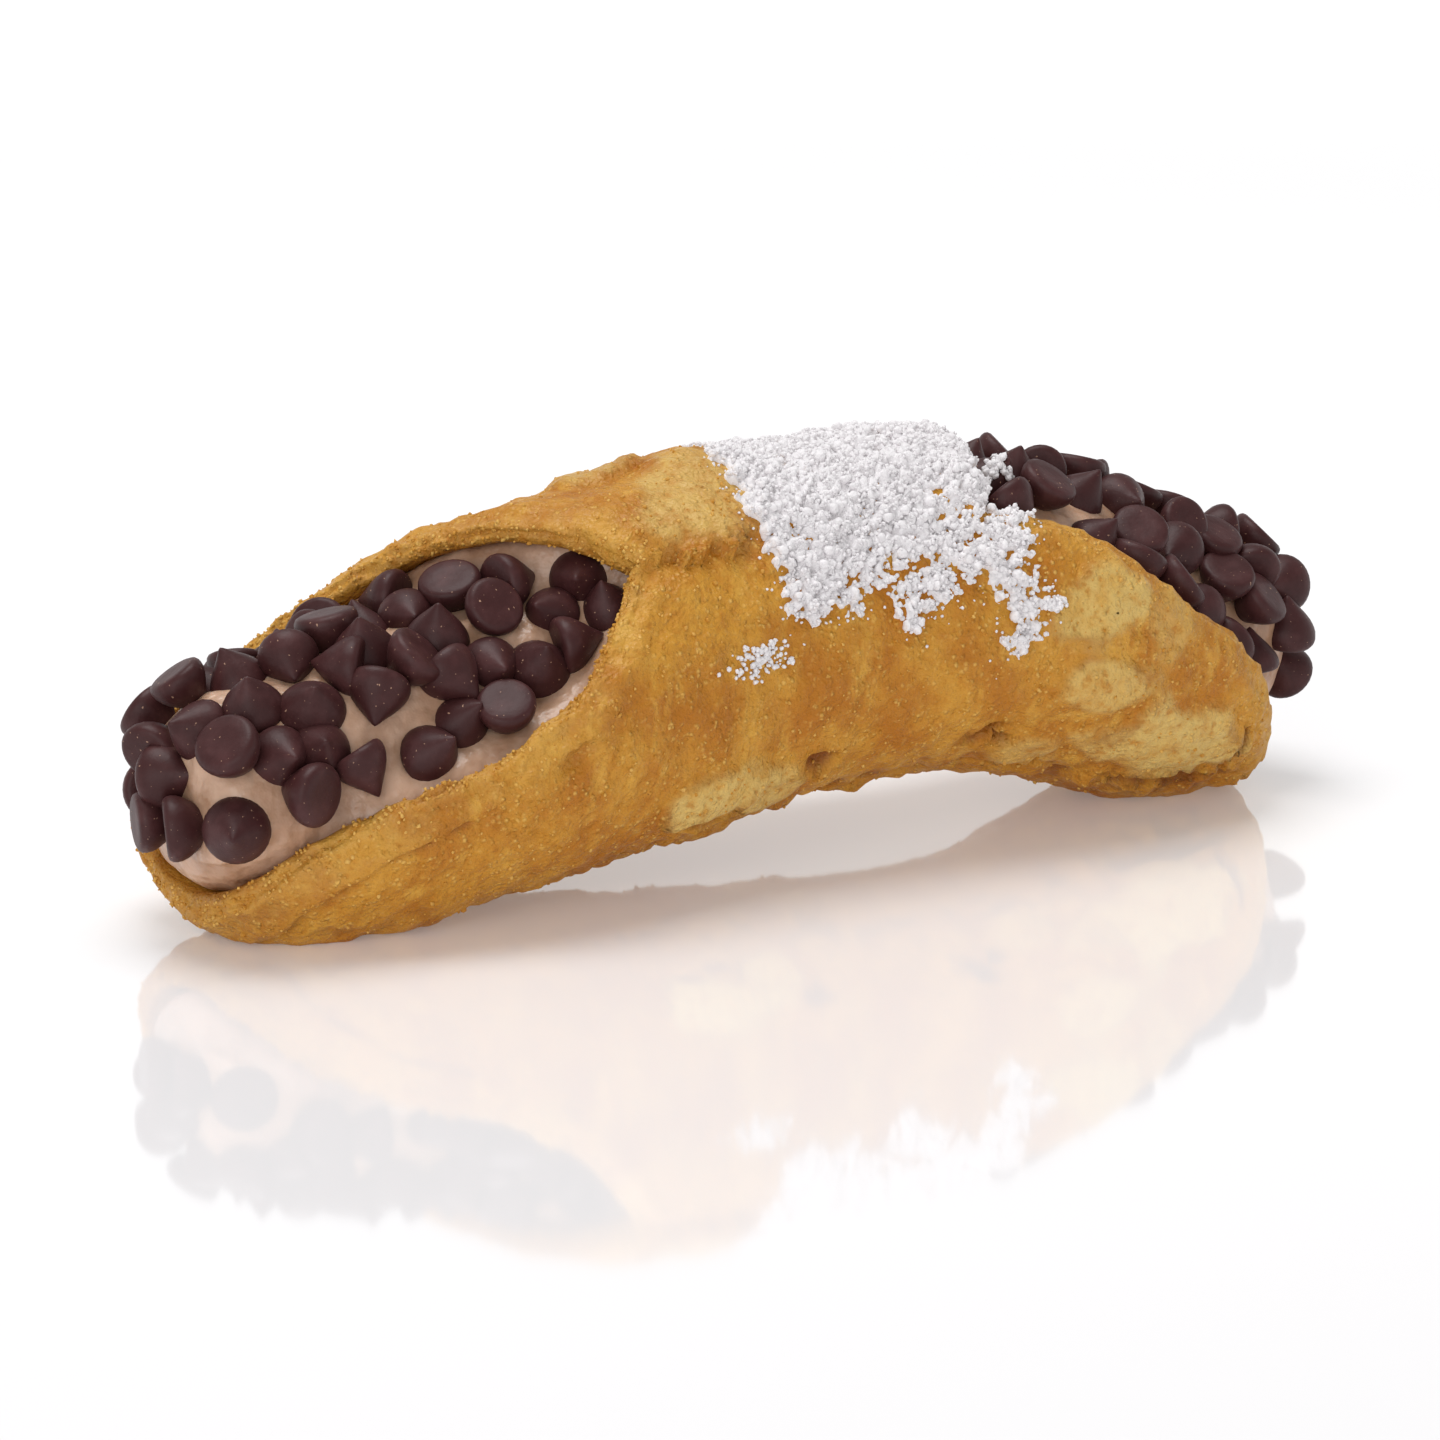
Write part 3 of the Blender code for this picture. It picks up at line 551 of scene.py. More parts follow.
def cream_mesh(rows, columns, gap):
    """Rings of the cream along the tube, drawn together at both ends."""
    even = np.linspace(0.0, 1.0, rows + 1)
    crowded = 0.5 - 0.5 * np.cos(even * math.pi)
    share = CREAM_END_CROWDING * crowded + (1 - CREAM_END_CROWDING) * even
    stations = CREAM_LEFT_END + (CREAM_RIGHT_END - CREAM_LEFT_END) * share
    turn = np.linspace(-math.pi, math.pi, columns, endpoint=False)
    rings = [cream_section(np.full(columns, station), turn, gap) for station in stations[1:-1]]
    faces = []
    for k in range(len(rings) - 1):
        faces += tube_faces(k * columns, (k + 1) * columns, columns)
    vertices = np.concatenate(rings).tolist()
    last = (len(rings) - 1) * columns
    for end, start in ((stations[0], 0), (stations[-1], last)):
        vertices.extend(cream_section(np.array([end]), np.array([0.0]), gap).tolist())
        pole = len(vertices) - 1
        for j in range(columns):
            faces.append((start + j, start + (j + 1) % columns, pole))
    return vertices, faces


def coarse_drop():
    """Corners and faces of the solid's faceted drop, base at the origin and point upwards."""
    sides = COARSE_DROP_SIDES
    turns = [2 * math.pi * j / sides for j in range(sides)]
    vertices = []
    for radius_share, height_share in COARSE_DROP_PROFILE:
        radius = DROP_RADIUS * radius_share
        height = DROP_HEIGHT * height_share
        vertices += [(radius * math.cos(turn), radius * math.sin(turn), height) for turn in turns]
    vertices.append((0.0, 0.0, DROP_HEIGHT))
    top = len(vertices) - 1
    last = top - sides
    faces = []
    for start in range(0, last, sides):
        faces += tube_faces(start, start + sides, sides)
    faces.append(tuple(range(sides)))
    return vertices, faces + [(last + j, last + (j + 1) % sides, top) for j in range(sides)]


def drop_matrix(spot, normal, kind, lean, spin, size):
    """Pose of a drop on the cream, its kind and lean drawn between 0 and 1."""
    for share, tilt_from, tilt_to, lift, swallowed in DROP_POSES:
        if kind < share:
            break
        kind -= share
    tilt = math.radians(tilt_from + (tilt_to - tilt_from) * lean)
    upright = normal.normalized().to_track_quat("Z", "Y").to_matrix().to_4x4()
    raised = Matrix.Translation((0.0, 0.0, lift))
    around = Matrix.Rotation(2 * math.pi * spin, 4, "Z")
    leaning = Matrix.Rotation(tilt, 4, "X")
    centring = Matrix.Translation((0.0, 0.0, -swallowed * DROP_HEIGHT))
    return Matrix.Translation(spot) @ upright @ raised @ around @ leaning @ centring @ Matrix.Scale(size, 4)


def place_drops(cream, shell_tree):
    """The solid's seeded places for the drops, spread over the open cream and clear of the dough."""
    draw = random.Random(DROP_SEED)
    shape = bmesh.new()
    shape.from_mesh(cream.data)
    bmesh.ops.triangulate(shape, faces=shape.faces[:])
    triangles = [face for face in shape.faces]
    areas = np.cumsum([face.calc_area() for face in triangles])
    corners, sides = coarse_drop()
    found = []
    for side, spacing in DROP_PASSES:
        for _ in range(DROP_TRIES):
            face = triangles[int(np.searchsorted(areas, draw.random() * areas[-1]))]
            a, b = draw.random(), draw.random()
            if a + b > 1:
                a, b = 1 - a, 1 - b
            kind, lean, spin, size = draw.random(), draw.random(), draw.random(), draw.uniform(*DROP_SIZES)
            p, q, r = (v.co for v in face.verts)
            spot = p + (q - p) * a + (r - p) * b
            if (spot.x - SHIFT_X) * side < 0 or face.normal.z < DROP_LOWEST_FACING:
                continue
            if min(((spot - other).length for other, _ in found), default=spacing) < spacing:
                continue
            if shell_tree.ray_cast(spot, face.normal, MOUTH_VIEW)[0] is not None:
                continue
            matrix = drop_matrix(spot, face.normal, kind, lean, spin, size)
            world = [matrix @ Vector(c) for c in corners]
            near = min(shell_tree.find_nearest(w)[3] for w in world)
            low = min(w.z for w in world)
            middle = sum(world, Vector()) / len(world)
            if near < DROP_CLEARANCE or low < DROP_CLEARANCE:
                continue
            if shell_tree.ray_cast(middle, face.normal, MOUTH_VIEW)[0] is not None:
                continue
            guard = [middle + (w - middle) * DROP_GUARD for w in world]
            if shell_tree.overlap(BVHTree.FromPolygons(guard, sides)):
                continue
            found.append((spot, matrix))
    shape.free()
    return [matrix for _, matrix in found]


def solid_drop_places(dimples):
    """Poses of all drops, from coarse bodies that are removed again."""
    shell_body = coarse_shell(dimples)
    shell_tree = BVHTree.FromObject(shell_body, bpy.context.evaluated_depsgraph_get())
    vertices, faces = cream_mesh(COARSE_CREAM_ROWS, COARSE_CREAM_COLUMNS, CREAM_GAP)
    cream_body = new_object("coarse_cream", vertices, faces)
    matrices = place_drops(cream_body, shell_tree)
    bpy.data.objects.remove(shell_body, do_unlink=True)
    bpy.data.objects.remove(cream_body, do_unlink=True)
    return matrices


HASH_PRIMES = (73856093, 19349663, 83492791, 2654435761)
HASH_STIR = 1274126177
NOISE_GAIN = 1.6


def scrambled(*whole):
    """Seeded numbers from 0 to 65535 for up to four whole numbers or arrays of them."""
    mixed = 0
    for value, prime in zip(whole, HASH_PRIMES):
        mixed = mixed ^ value * prime
    mixed = (mixed ^ mixed >> 13) * HASH_STIR & 0xFFFFFFFF
    return (mixed ^ mixed >> 16) & 0xFFFF


def lumps(points, size, seed):
    """Smooth seeded noise between about -1 and 1 whose lumps have the given size."""
    cell = points / size
    base = np.floor(cell).astype(np.int64)
    t = cell - base
    t = t * t * (3 - 2 * t)
    total = np.zeros(points.shape[:-1])
    for corner in range(8):
        step = np.array([corner & 1, corner >> 1 & 1, corner >> 2 & 1])
        mixed = scrambled(*np.moveaxis(base + step, -1, 0), seed)
        weight = np.prod(np.where(step == 1, t, 1 - t), axis=-1)
        total += (mixed / 0x7FFF - 1) * weight
    return total * NOISE_GAIN


def with_lumps(total, points, layers):
    """The total with layers of seeded noise added."""
    for size, height, seed in layers:
        total = total + lumps(points, size, seed) * height
    return total


def make_pores():
    """Seeded pores and grains of the fried surface."""
    draw = random.Random(PORE_SEED)
    pores = []
    for _ in range(PORE_COUNT):
        along = draw.uniform(LEFT_TIP, RIGHT_TIP)
        turn = draw.uniform(-math.pi, math.pi)
        pores.append((along, turn, draw.uniform(*PORE_SIZE), draw.uniform(*PORE_DEPTH)))
    return pores


def rim_distance(points):
    """Distance of each point of the grid to the nearer mouth's edge."""
    edge = np.concatenate([points[0], points[-1]])
    tree = KDTree(len(edge))
    for number, place in enumerate(edge):
        tree.insert(place, number)
    tree.balance()
    nearest = [tree.find(place)[2] for place in points.reshape(-1, 3)]
    return np.array(nearest).reshape(points.shape[:-1])


class Skin:
    """Outer skin of the fine crust: its radius rise, its mask of paleness and its mask of toasting with
    painted shade, as details are added.
    """

    def __init__(self, u, phi, dimples):
        self.u = u
        self.angle = phi + tip_direction(u)
        self.plain = at(u, self.angle, tube_radius(u, self.angle))
        self.ragged = with_lumps(0.0, self.plain, RAGGED)
        self.wavy = with_lumps(0.0, self.plain, WAVY)
        self.pale = np.zeros_like(u)
        self.toast_and_shade = np.zeros_like(u)
        over = np.where(phi > math.pi / 2, phi - 2 * math.pi, phi) + math.pi
        torn = smooth_step((over + TORN_EDGE * (1 + self.ragged)) / TORN_SOFTNESS)
        flap = FLAP_STEP * flap_fade(u) * smooth_step(1 - over / FLAP_WIDTH) * torn
        self.rise = tube_radius(u, self.angle) + relief_height(u, self.angle, dimples) + flap

    def lighten(self, share):
        self.pale = np.maximum(self.pale, share)

    # Darkens towards the toasted colour: real toasting on blister ridges, painted shade in pits, crag hollows
    # and the rim groove.
    def add_toast_and_shade(self, share):
        self.toast_and_shade = np.maximum(self.toast_and_shade, share)

    def add_blisters(self):
        width, least, noise, height_share, toast_and_shade = BLISTER_RIDGE
        wander = 1 + BLISTER_WANDER[0] * self.ragged + BLISTER_WANDER[1] * self.wavy
        for *spot, height, paleness in BLISTERS:
            reach = np.hypot(*spot_place(self.u, self.angle, *spot)) * wander
            inside = smooth_step((1 + BLISTER_EDGE - reach) / (2 * BLISTER_EDGE))
            ridge = bell(reach, 1, width) * (least + noise * self.ragged)
            self.rise = self.rise + height * inside + height_share * height * ridge
            self.lighten(inside * paleness)
            self.add_toast_and_shade(toast_and_shade * np.clip(ridge, 0.0, 1.0) * paleness)

    def add_pits(self):
        height, place, width = PIT_BURR
        for *spot, depth in PITS:
            reach = np.hypot(*spot_place(self.u, self.angle, *spot)) * (1 + PIT_WANDER * self.ragged)
            inside = smooth_step((PIT_EDGE[0] - reach) / PIT_EDGE[1])
            self.rise = self.rise - depth * inside + height * depth * bell(reach, place, width)
            # Painted shade darkens each pit the more, the deeper it is.
            self.add_toast_and_shade(inside * min(depth / PIT_SHADE_DEPTH, 1.0))

    def add_pores(self, pores):
        for along, turn, size, height in pores:
            near = np.abs(self.u - along) < PORE_REACH * size
            across = wrap(self.angle[near] - turn) * TUBE_RADIUS[1]
            spread = ((self.u[near] - along) ** 2 + across ** 2) / size ** 2
            self.rise[near] += height * np.exp(-spread)

    def add_crags(self):
        turn = wrap(self.angle)
        low, full, high = (math.radians(value) for value in CRAG_ANGLES)
        where = ramp(turn, low, full) * ramp(turn, high, full)
        where = where * (CRAG_LEFT_SHARE + (1 - CRAG_LEFT_SHARE) * ramp(self.u, *CRAG_FULL_FROM))
        ridges, fine, finer = CRAG_LAYERS
        crag = np.abs(lumps(self.plain, CRAG_SIZE, CRAG_SEEDS[0])) * ridges
        crag = crag + fine * lumps(self.plain, CRAG_SIZE / finer, CRAG_SEEDS[1])
        self.rise = self.rise + where * CRAG_HEIGHT * (crag - CRAG_LEVEL)
        # Painted shade darkens the crags' hollows.
        most, slope, cap = CRAG_HOLLOW_SHADE
        self.add_toast_and_shade(where * np.clip(most - slope * crag, 0.0, cap))

    def add_rims(self):
        to_rim = rim_distance(self.plain)
        size, height, reach, seed = RIM_ROUGH
        self.rise = self.rise + lumps(self.plain, size, seed) * height * np.exp(-to_rim / reach)
        self.rise = self.rise - RIM_BEVEL[0] * bell(to_rim, 0.0, RIM_BEVEL[1])
        band = RIM_BAND_LEAST + (1 - RIM_BAND_LEAST) * ramp(self.u, *RIM_BAND_FROM)
        height, place, width = RIM_ROLL
        waves = 1 + RIM_ROLL_WAVES * self.wavy
        self.rise = self.rise + height * band * bell(to_rim, place, width) * waves
        depth, place, width = RIM_GROOVE
        broken = bell(to_rim, place * (1 + RIM_GROOVE_WANDER * self.wavy), width)
        broken = broken * np.clip(RIM_GROOVE_BREAKS[0] + self.ragged, 0.0, RIM_GROOVE_BREAKS[1]) * band
        self.rise = self.rise - depth * broken
        # Painted shade darkens the groove behind the rolled edge.
        self.add_toast_and_shade(RIM_GROOVE_SHADE * broken)
        noise = RIM_PALE_NOISE[0] + RIM_PALE_NOISE[1] * self.ragged
        self.lighten(RIM_PALE[0] * bell(to_rim, 0.0, RIM_PALE[1]) * noise)

    def points(self):
        """Places of the grid, with the finest noise on top."""
        skin = at(self.u, self.angle, self.rise)
        return at(self.u, self.angle, with_lumps(self.rise, skin, CRUST_NOISE))


def into_box(points):
    """Keeps points inside the solids' own box, pressing in what stands out."""
    low = np.array([cad_low.x, cad_low.y, 0.0]) + (CRUST_BOX_MARGIN, CRUST_BOX_MARGIN, 0.0)
    high = np.array([cad_high.x, cad_high.y, cad_high.z]) - CRUST_BOX_MARGIN
    return np.clip(points, low, high)


def fine_lip(outer, inner, step_in, depth):
    """A loop of the rough lip, with a crease between its two layers."""
    out = lip_side(outer, inner, step_in)
    uneven = with_lumps(0.0, outer, LIP_UNEVEN)[:, None]
    bulge = math.sin(math.pi * depth) ** LIP_FULLNESS * LIP_ROUND * (1 + LIP_UNEVEN_SHARE * uneven)
    noise = LIP_CREASE_NOISE[0] + LIP_CREASE_NOISE[1] * uneven
    crease = LIP_CREASE_DEPTH * bell(depth, *LIP_CREASE) * noise
    loop = outer - (outer - inner) * depth + out * (bulge - crease)
    return loop + out * (with_lumps(0.0, loop, LIP_NOISE) * math.sin(math.pi * depth))[:, None]


def lip_mask(depth):
    """Paleness of the lip, and painted shade that darkens it towards its inner edge."""
    return LIP_PALE, LIP_INNER_SHADE * smooth_step((depth - LIP_INNER_SHADE_FROM) / (1 - LIP_INNER_SHADE_FROM))


def make_crust(dimples, pores, material):
    """The fried dough at full detail, with masks of paleness and of toasting with painted shade for its
    material.
    """
    u, phi = dough_grid(CRUST_ROWS, CRUST_COLUMNS, 1 / CRUST_COLUMNS)
    skin = Skin(u, phi, dimples)
    skin.add_blisters()
    skin.add_pits()
    skin.add_pores(pores)
    skin.add_crags()
    skin.add_rims()
    inner = at(u, phi + tip_direction(u), inner_radius(u, phi))
    inner = inner + with_lumps(0.0, inner, INSIDE_NOISE)[..., None]
    depths = np.linspace(0.0, 1.0, CRUST_LIP_LOOPS + 2)[1:-1]
    loops = wall_loops(into_box(skin.points()), inner, fine_lip, depths, CRUST_INNER_STEP)
    faces = wall_faces(len(loops), CRUST_COLUMNS)
    crust = new_object("crust", into_box(np.concatenate(loops)), faces, material)
    inside = len(loops) - len(u) - 2 * CRUST_LIP_LOOPS
    rest = [lip_mask(depth) for depth in depths]
    # The inner skin is darkened all over with painted shade, and the lips' loops carry painted shade towards
    # the inner edge.
    rest = rest + [(0.0, INSIDE_SHADE)] * inside + rest[::-1]
    outside = np.stack([skin.pale, skin.toast_and_shade], -1).reshape(-1, 2)
    values = np.concatenate([outside, np.repeat(rest, CRUST_COLUMNS, axis=0)])
    # The second mask holds both toasting and painted shade.
    for column, name in enumerate(("pale", "toast_and_shade")):
        mask = crust.data.attributes.new(name, "FLOAT", "POINT")
        mask.data.foreach_set("value", values[:, column].astype(np.float32))
    return crust


CREAM_ROWS = 210
CREAM_COLUMNS = 170
CREAM_SHOW_GAP = 0.05 * MM
CREAM_NOISE = to_metres(((6.0, 0.30, 40), (2.6, 0.22, 41), (1.2, 0.06, 42)), 2)


def make_cream(material):
    """The cream with its soft swells and grain."""
    vertices, faces = cream_mesh(CREAM_ROWS, CREAM_COLUMNS, CREAM_SHOW_GAP)
    points = np.array(vertices)
    middle = np.zeros(len(points))
    out = unit(points - at(points[:, 0] - SHIFT_X, middle, middle))
    for layer in CREAM_NOISE:
        points = points + out * with_lumps(0.0, points, [layer])[:, None]
    return new_object("cream", points, faces, material)


# Profile of a moulded chocolate drop from its flat base to its point, in shares of the two sizes, and how
# its point leans: least share, most in radii, height share that it starts from, power and gain.
DROP_PROFILE = (
    (0.0, 0.01), (0.45, 0.005), (0.80, 0.0), (0.92, 0.03), (0.985, 0.09), (1.0, 0.16), (0.975, 0.26),
    (0.90, 0.37), (0.77, 0.49), (0.61, 0.61), (0.44, 0.72), (0.29, 0.82), (0.17, 0.905), (0.08, 0.965),
    (0.0, 1.0),
)
DROP_SIDES = 28
DROP_BEND = (0.3, 0.22, 0.45, 1.5, 2)
DROP_UNEVEN = 0.05
DROP_FIRST_SEED = 100
DROP_SHARP = math.radians(60.0)


def fine_drop(number):
    """One smooth drop with its own leaning point and slightly uneven round."""
    draw = random.Random(DROP_FIRST_SEED + number)
    least, most, bend_from, power, gain = DROP_BEND
    lean_turn = draw.uniform(0.0, 2 * math.pi)
    bend = draw.uniform(least, 1.0) * most * DROP_RADIUS
    swell_turn = draw.uniform(0.0, 2 * math.pi)
    swell = draw.uniform(0.0, DROP_UNEVEN)
    turn = np.linspace(0.0, 2 * math.pi, DROP_SIDES, endpoint=False)
    rings = []
    for radius_share, height_share in DROP_PROFILE:
        radius = DROP_RADIUS * radius_share * (1 + swell * np.cos(2 * (turn - swell_turn)))
        offset = bend * max(height_share - bend_from, 0.0) ** power * gain
        x = radius * np.cos(turn) + offset * math.cos(lean_turn)
        y = radius * np.sin(turn) + offset * math.sin(lean_turn)
        rings.append(np.stack([x, y, np.full(DROP_SIDES, DROP_HEIGHT * height_share)], -1))
    return np.concatenate([rings[0][:1], *rings[1:-1], rings[-1][:1]])


def drop_faces():
    """Faces of the fine drop: a fan at the base, bands, and a fan at the point."""
    bands = len(DROP_PROFILE) - 2
    last = 1 + (bands - 1) * DROP_SIDES
    faces = [(0, 1 + (j + 1) % DROP_SIDES, 1 + j) for j in range(DROP_SIDES)]
    for start in range(1, last, DROP_SIDES):
        faces += tube_faces(start, start + DROP_SIDES, DROP_SIDES)
    return faces + [(last + j, last + (j + 1) % DROP_SIDES, last + DROP_SIDES) for j in range(DROP_SIDES)]


def make_drops(matrices, material):
    """All chocolate drops as one mesh."""
    template = drop_faces()
    vertices = []
    faces = []
    for number, matrix in enumerate(matrices):
        start = len(vertices)
        vertices += list(fine_drop(number) @ np.array(matrix.to_3x3()).T + np.array(matrix.translation))
        faces += [[start + corner for corner in face] for face in template]
    drops = new_object("chocolate_drops", vertices, faces, material)
    drops.data.set_sharp_from_angle(angle=DROP_SHARP)
    return drops


# Powdered sugar: a degree's length on the tube, the outline as (along in millimetres, degrees), and its skin.
DEGREE = TUBE_RADIUS[2] * math.pi / 180
SUGAR_OUTLINE = (
    (-0.5, 205.0), (-3.1, 158.0), (-4.3, 140.0), (-3.5, 130.0), (-2.5, 120.0), (-3.3, 117.0), (-2.9, 110.0),
    (-1.3, 104.0), (3.5, 104.0), (8.3, 107.0), (10.1, 98.0), (14.5, 101.0), (16.5, 111.0), (19.1, 108.0),
    (20.1, 96.0), (22.3, 83.0), (24.3, 90.0), (26.5, 101.0), (23.5, 115.0), (25.9, 121.0), (26.9, 129.0),
    (24.5, 139.0), (23.5, 152.0), (27.3, 173.0), (23.5, 205.0), (11.9, 209.0), (5.1, 207.0),
)
SUGAR_REGION = ((-6.5 * MM, 29.5 * MM), (80.0, 213.0))
SUGAR_CELL = 0.17 * MM
SUGAR_RAGGED = 0.9 * MM
SUGAR_RAMP = 2.2 * MM
SUGAR_SUNK = -0.68 * MM
SUGAR_BED = 0.30 * MM
SUGAR_UNDERSIDE = 0.25 * MM
SUGAR_EDGE = 0.5 * MM
SUGAR_EDGE_RISE = 0.9 * MM
SUGAR_SHOWS_FROM = -0.10 * MM
# Layers: size, height or share, seed.
SUGAR_DOMES = to_metres(((1.4, 0.72, 51), (0.74, 0.58, 55), (0.40, 0.40, 59)), 2)
SUGAR_DRIFTS = to_metres(((4.5, 0.22, 73),), 2)
SUGAR_EDGE_NOISE = to_metres(((2.4, 0.6, 71), (1.1, 0.7, 72), (0.55, 0.55, 74)), 1, 2)
DOME_RADIUS = (0.45, 0.35)
RAY_START = 8.0 * MM
RAY_LENGTH = 14.0 * MM

# Loose sugar: counts, radii, how far out of the surface they sit in radii, and the strays' margins. The
# dusting lies at (along, degrees, half length, half width), the spills at (pixel, count, spread).
SUGAR_SEED = 8
SUGAR_CLUMPS = 520
CLUMP_RADIUS = (0.24 * MM, 0.52 * MM)
CLUMP_SITS = 0.15
SUGAR_GRAINS = 4200
GRAIN_RADIUS = (0.10 * MM, 0.27 * MM)
GRAIN_SITS = 0.5
STRAYS = 1100
STRAY_TRIES = 4400
STRAY_RADIUS = (0.07 * MM, 0.20 * MM)
STRAY_FADE = 0.6 * MM
STRAY_MARGIN = (1.5 * MM, 1.0 * MM)
STRAY_MARGIN_DEGREES = 4.0
DUSTING = (-6.5 * MM, 97.0, 3.2 * MM, 1.5 * MM)
DUSTING_GRAINS = 150
DUSTING_RADIUS = (0.12 * MM, 0.30 * MM)
SPILLS = (((990, 470), 40, 0.42 * MM), ((998, 462), 22, 0.35 * MM), ((1006, 472), 14, 0.3 * MM))
SPILL_RADIUS = (0.16 * MM, 0.42 * MM)
SPILL_SITS = (0.3, 1.0)

# Rough balls: stretch of each axis, spread and size of their noise; then subdivisions, roughness and seed.
BALL_STRETCH = (0.78, 1.2)
BALL_NOISE_SPREAD = 50
BALL_NOISE_SIZE = 0.8
CLUMP_BALLS = (2, 0.24, 61)
GRAIN_BALLS = (1, 0.22, 62)
CRUMB_BALLS = (1, 0.45, 63)


def hashed(a, b, seed):
    """Seeded shares between 0 and 1 for whole numbers."""
    return scrambled(a, b, seed) / 0xFFFF


def domes(x, y, size, seed):
    """Heights between 0 and 1 of round lumps scattered one to a cell of the given size."""
    x = x / size
    y = y / size
    cell_x = np.floor(x).astype(np.int64)
    cell_y = np.floor(y).astype(np.int64)
    least, more = DOME_RADIUS
    best = np.zeros(x.shape)
    for i in (-1, 0, 1):
        for j in (-1, 0, 1):
            a, b = cell_x + i, cell_y + j
            distance = np.hypot(x - a - hashed(a, b, seed), y - b - hashed(a, b, seed + 1))
            radius = least + more * hashed(a, b, seed + 2)
            round_top = np.sqrt(np.maximum(1 - (distance / radius) ** 2, 0.0))
            best = np.maximum(best, round_top * radius / (least + more))
    return best


def edge_distance(along, degrees):
    """Signed distances in metres from the sugar's outline, positive inside."""
    across = degrees * DEGREE
    corners = [(a * MM, d * DEGREE) for a, d in SUGAR_OUTLINE]
    inside = np.zeros(along.shape, bool)
    least = np.full(along.shape, np.inf)
    for (px, py), (qx, qy) in zip(corners, corners[1:] + corners[:1]):
        side_x, side_y = qx - px, qy - py
        t = ((along - px) * side_x + (across - py) * side_y) / (side_x ** 2 + side_y ** 2)
        t = np.clip(t, 0.0, 1.0)
        least = np.minimum(least, np.hypot(along - px - side_x * t, across - py - side_y * t))
        crosses = (py > across) != (qy > across)
        inside ^= crosses & (along < side_x * (across - py) / np.where(side_y == 0, 1.0, side_y) + px)
    return np.where(inside, least, -least)


def on_crust(tree, along, degrees):
    """Places and normals on the crust under points outside it, None where the ray misses."""
    angle = np.radians(degrees)
    outside = at(along, angle, tube_radius(along, angle) + RAY_START)
    towards = at(along, angle, np.zeros(along.shape)) - outside
    rays = zip(outside, towards)
    return [tree.ray_cast(Vector(start), Vector(way).normalized(), RAY_LENGTH)[:2] for start, way in rays]


def ball(subdivisions):
    """Vertices and faces of a unit ball."""
    shape = bmesh.new()
    bmesh.ops.create_icosphere(shape, subdivisions=subdivisions, radius=1.0)
    vertices = np.array([v.co[:] for v in shape.verts])
    faces = np.array([[v.index for v in f.verts] for f in shape.faces])
    shape.free()
    return vertices, faces


def grain_mesh(places, radii, subdivisions, rough, seed):
    """Vertices and faces of joined rough balls, the roughness a share of the radius."""
    sphere, sphere_faces = ball(subdivisions)
    places = np.asarray(places)
    radii = np.asarray(radii)
    count = len(places)
    chance = np.random.default_rng(seed)
    stretch = chance.uniform(*BALL_STRETCH, (count, 1, 3))
    axes = np.linalg.qr(chance.normal(size=(count, 3, 3)))[0]
    own = sphere[None] + chance.uniform(0, BALL_NOISE_SPREAD, (count, 1, 3))
    bumpy = 1 + rough * lumps(own, BALL_NOISE_SIZE, seed)
    shape = np.einsum("nvi,nij->nvj", sphere[None] * bumpy[..., None] * stretch, axes)
    vertices = (shape * radii[:, None, None] + places[:, None, :]).reshape(-1, 3)
    faces = (sphere_faces[None] + np.arange(count)[:, None, None] * len(sphere)).reshape(-1, 3)
    return vertices, faces


def sugar_height(along, degrees):
    """Height of the powder over the crust, below zero where there is none."""
    flat = np.stack([along, degrees * DEGREE, np.zeros_like(along)], -1)
    inside = edge_distance(along, degrees) + SUGAR_RAGGED * with_lumps(0.0, flat, SUGAR_EDGE_NOISE)
    height = with_lumps(SUGAR_SUNK + SUGAR_BED * smooth_step(inside / SUGAR_RAMP), flat, SUGAR_DRIFTS)
    present = smooth_step((inside + SUGAR_EDGE) / SUGAR_EDGE_RISE)
    for size, rise, seed in SUGAR_DOMES:
        height = height + rise * present * domes(along, degrees * DEGREE, size, seed)
    return np.where(inside < -SUGAR_EDGE, SUGAR_SUNK, height)


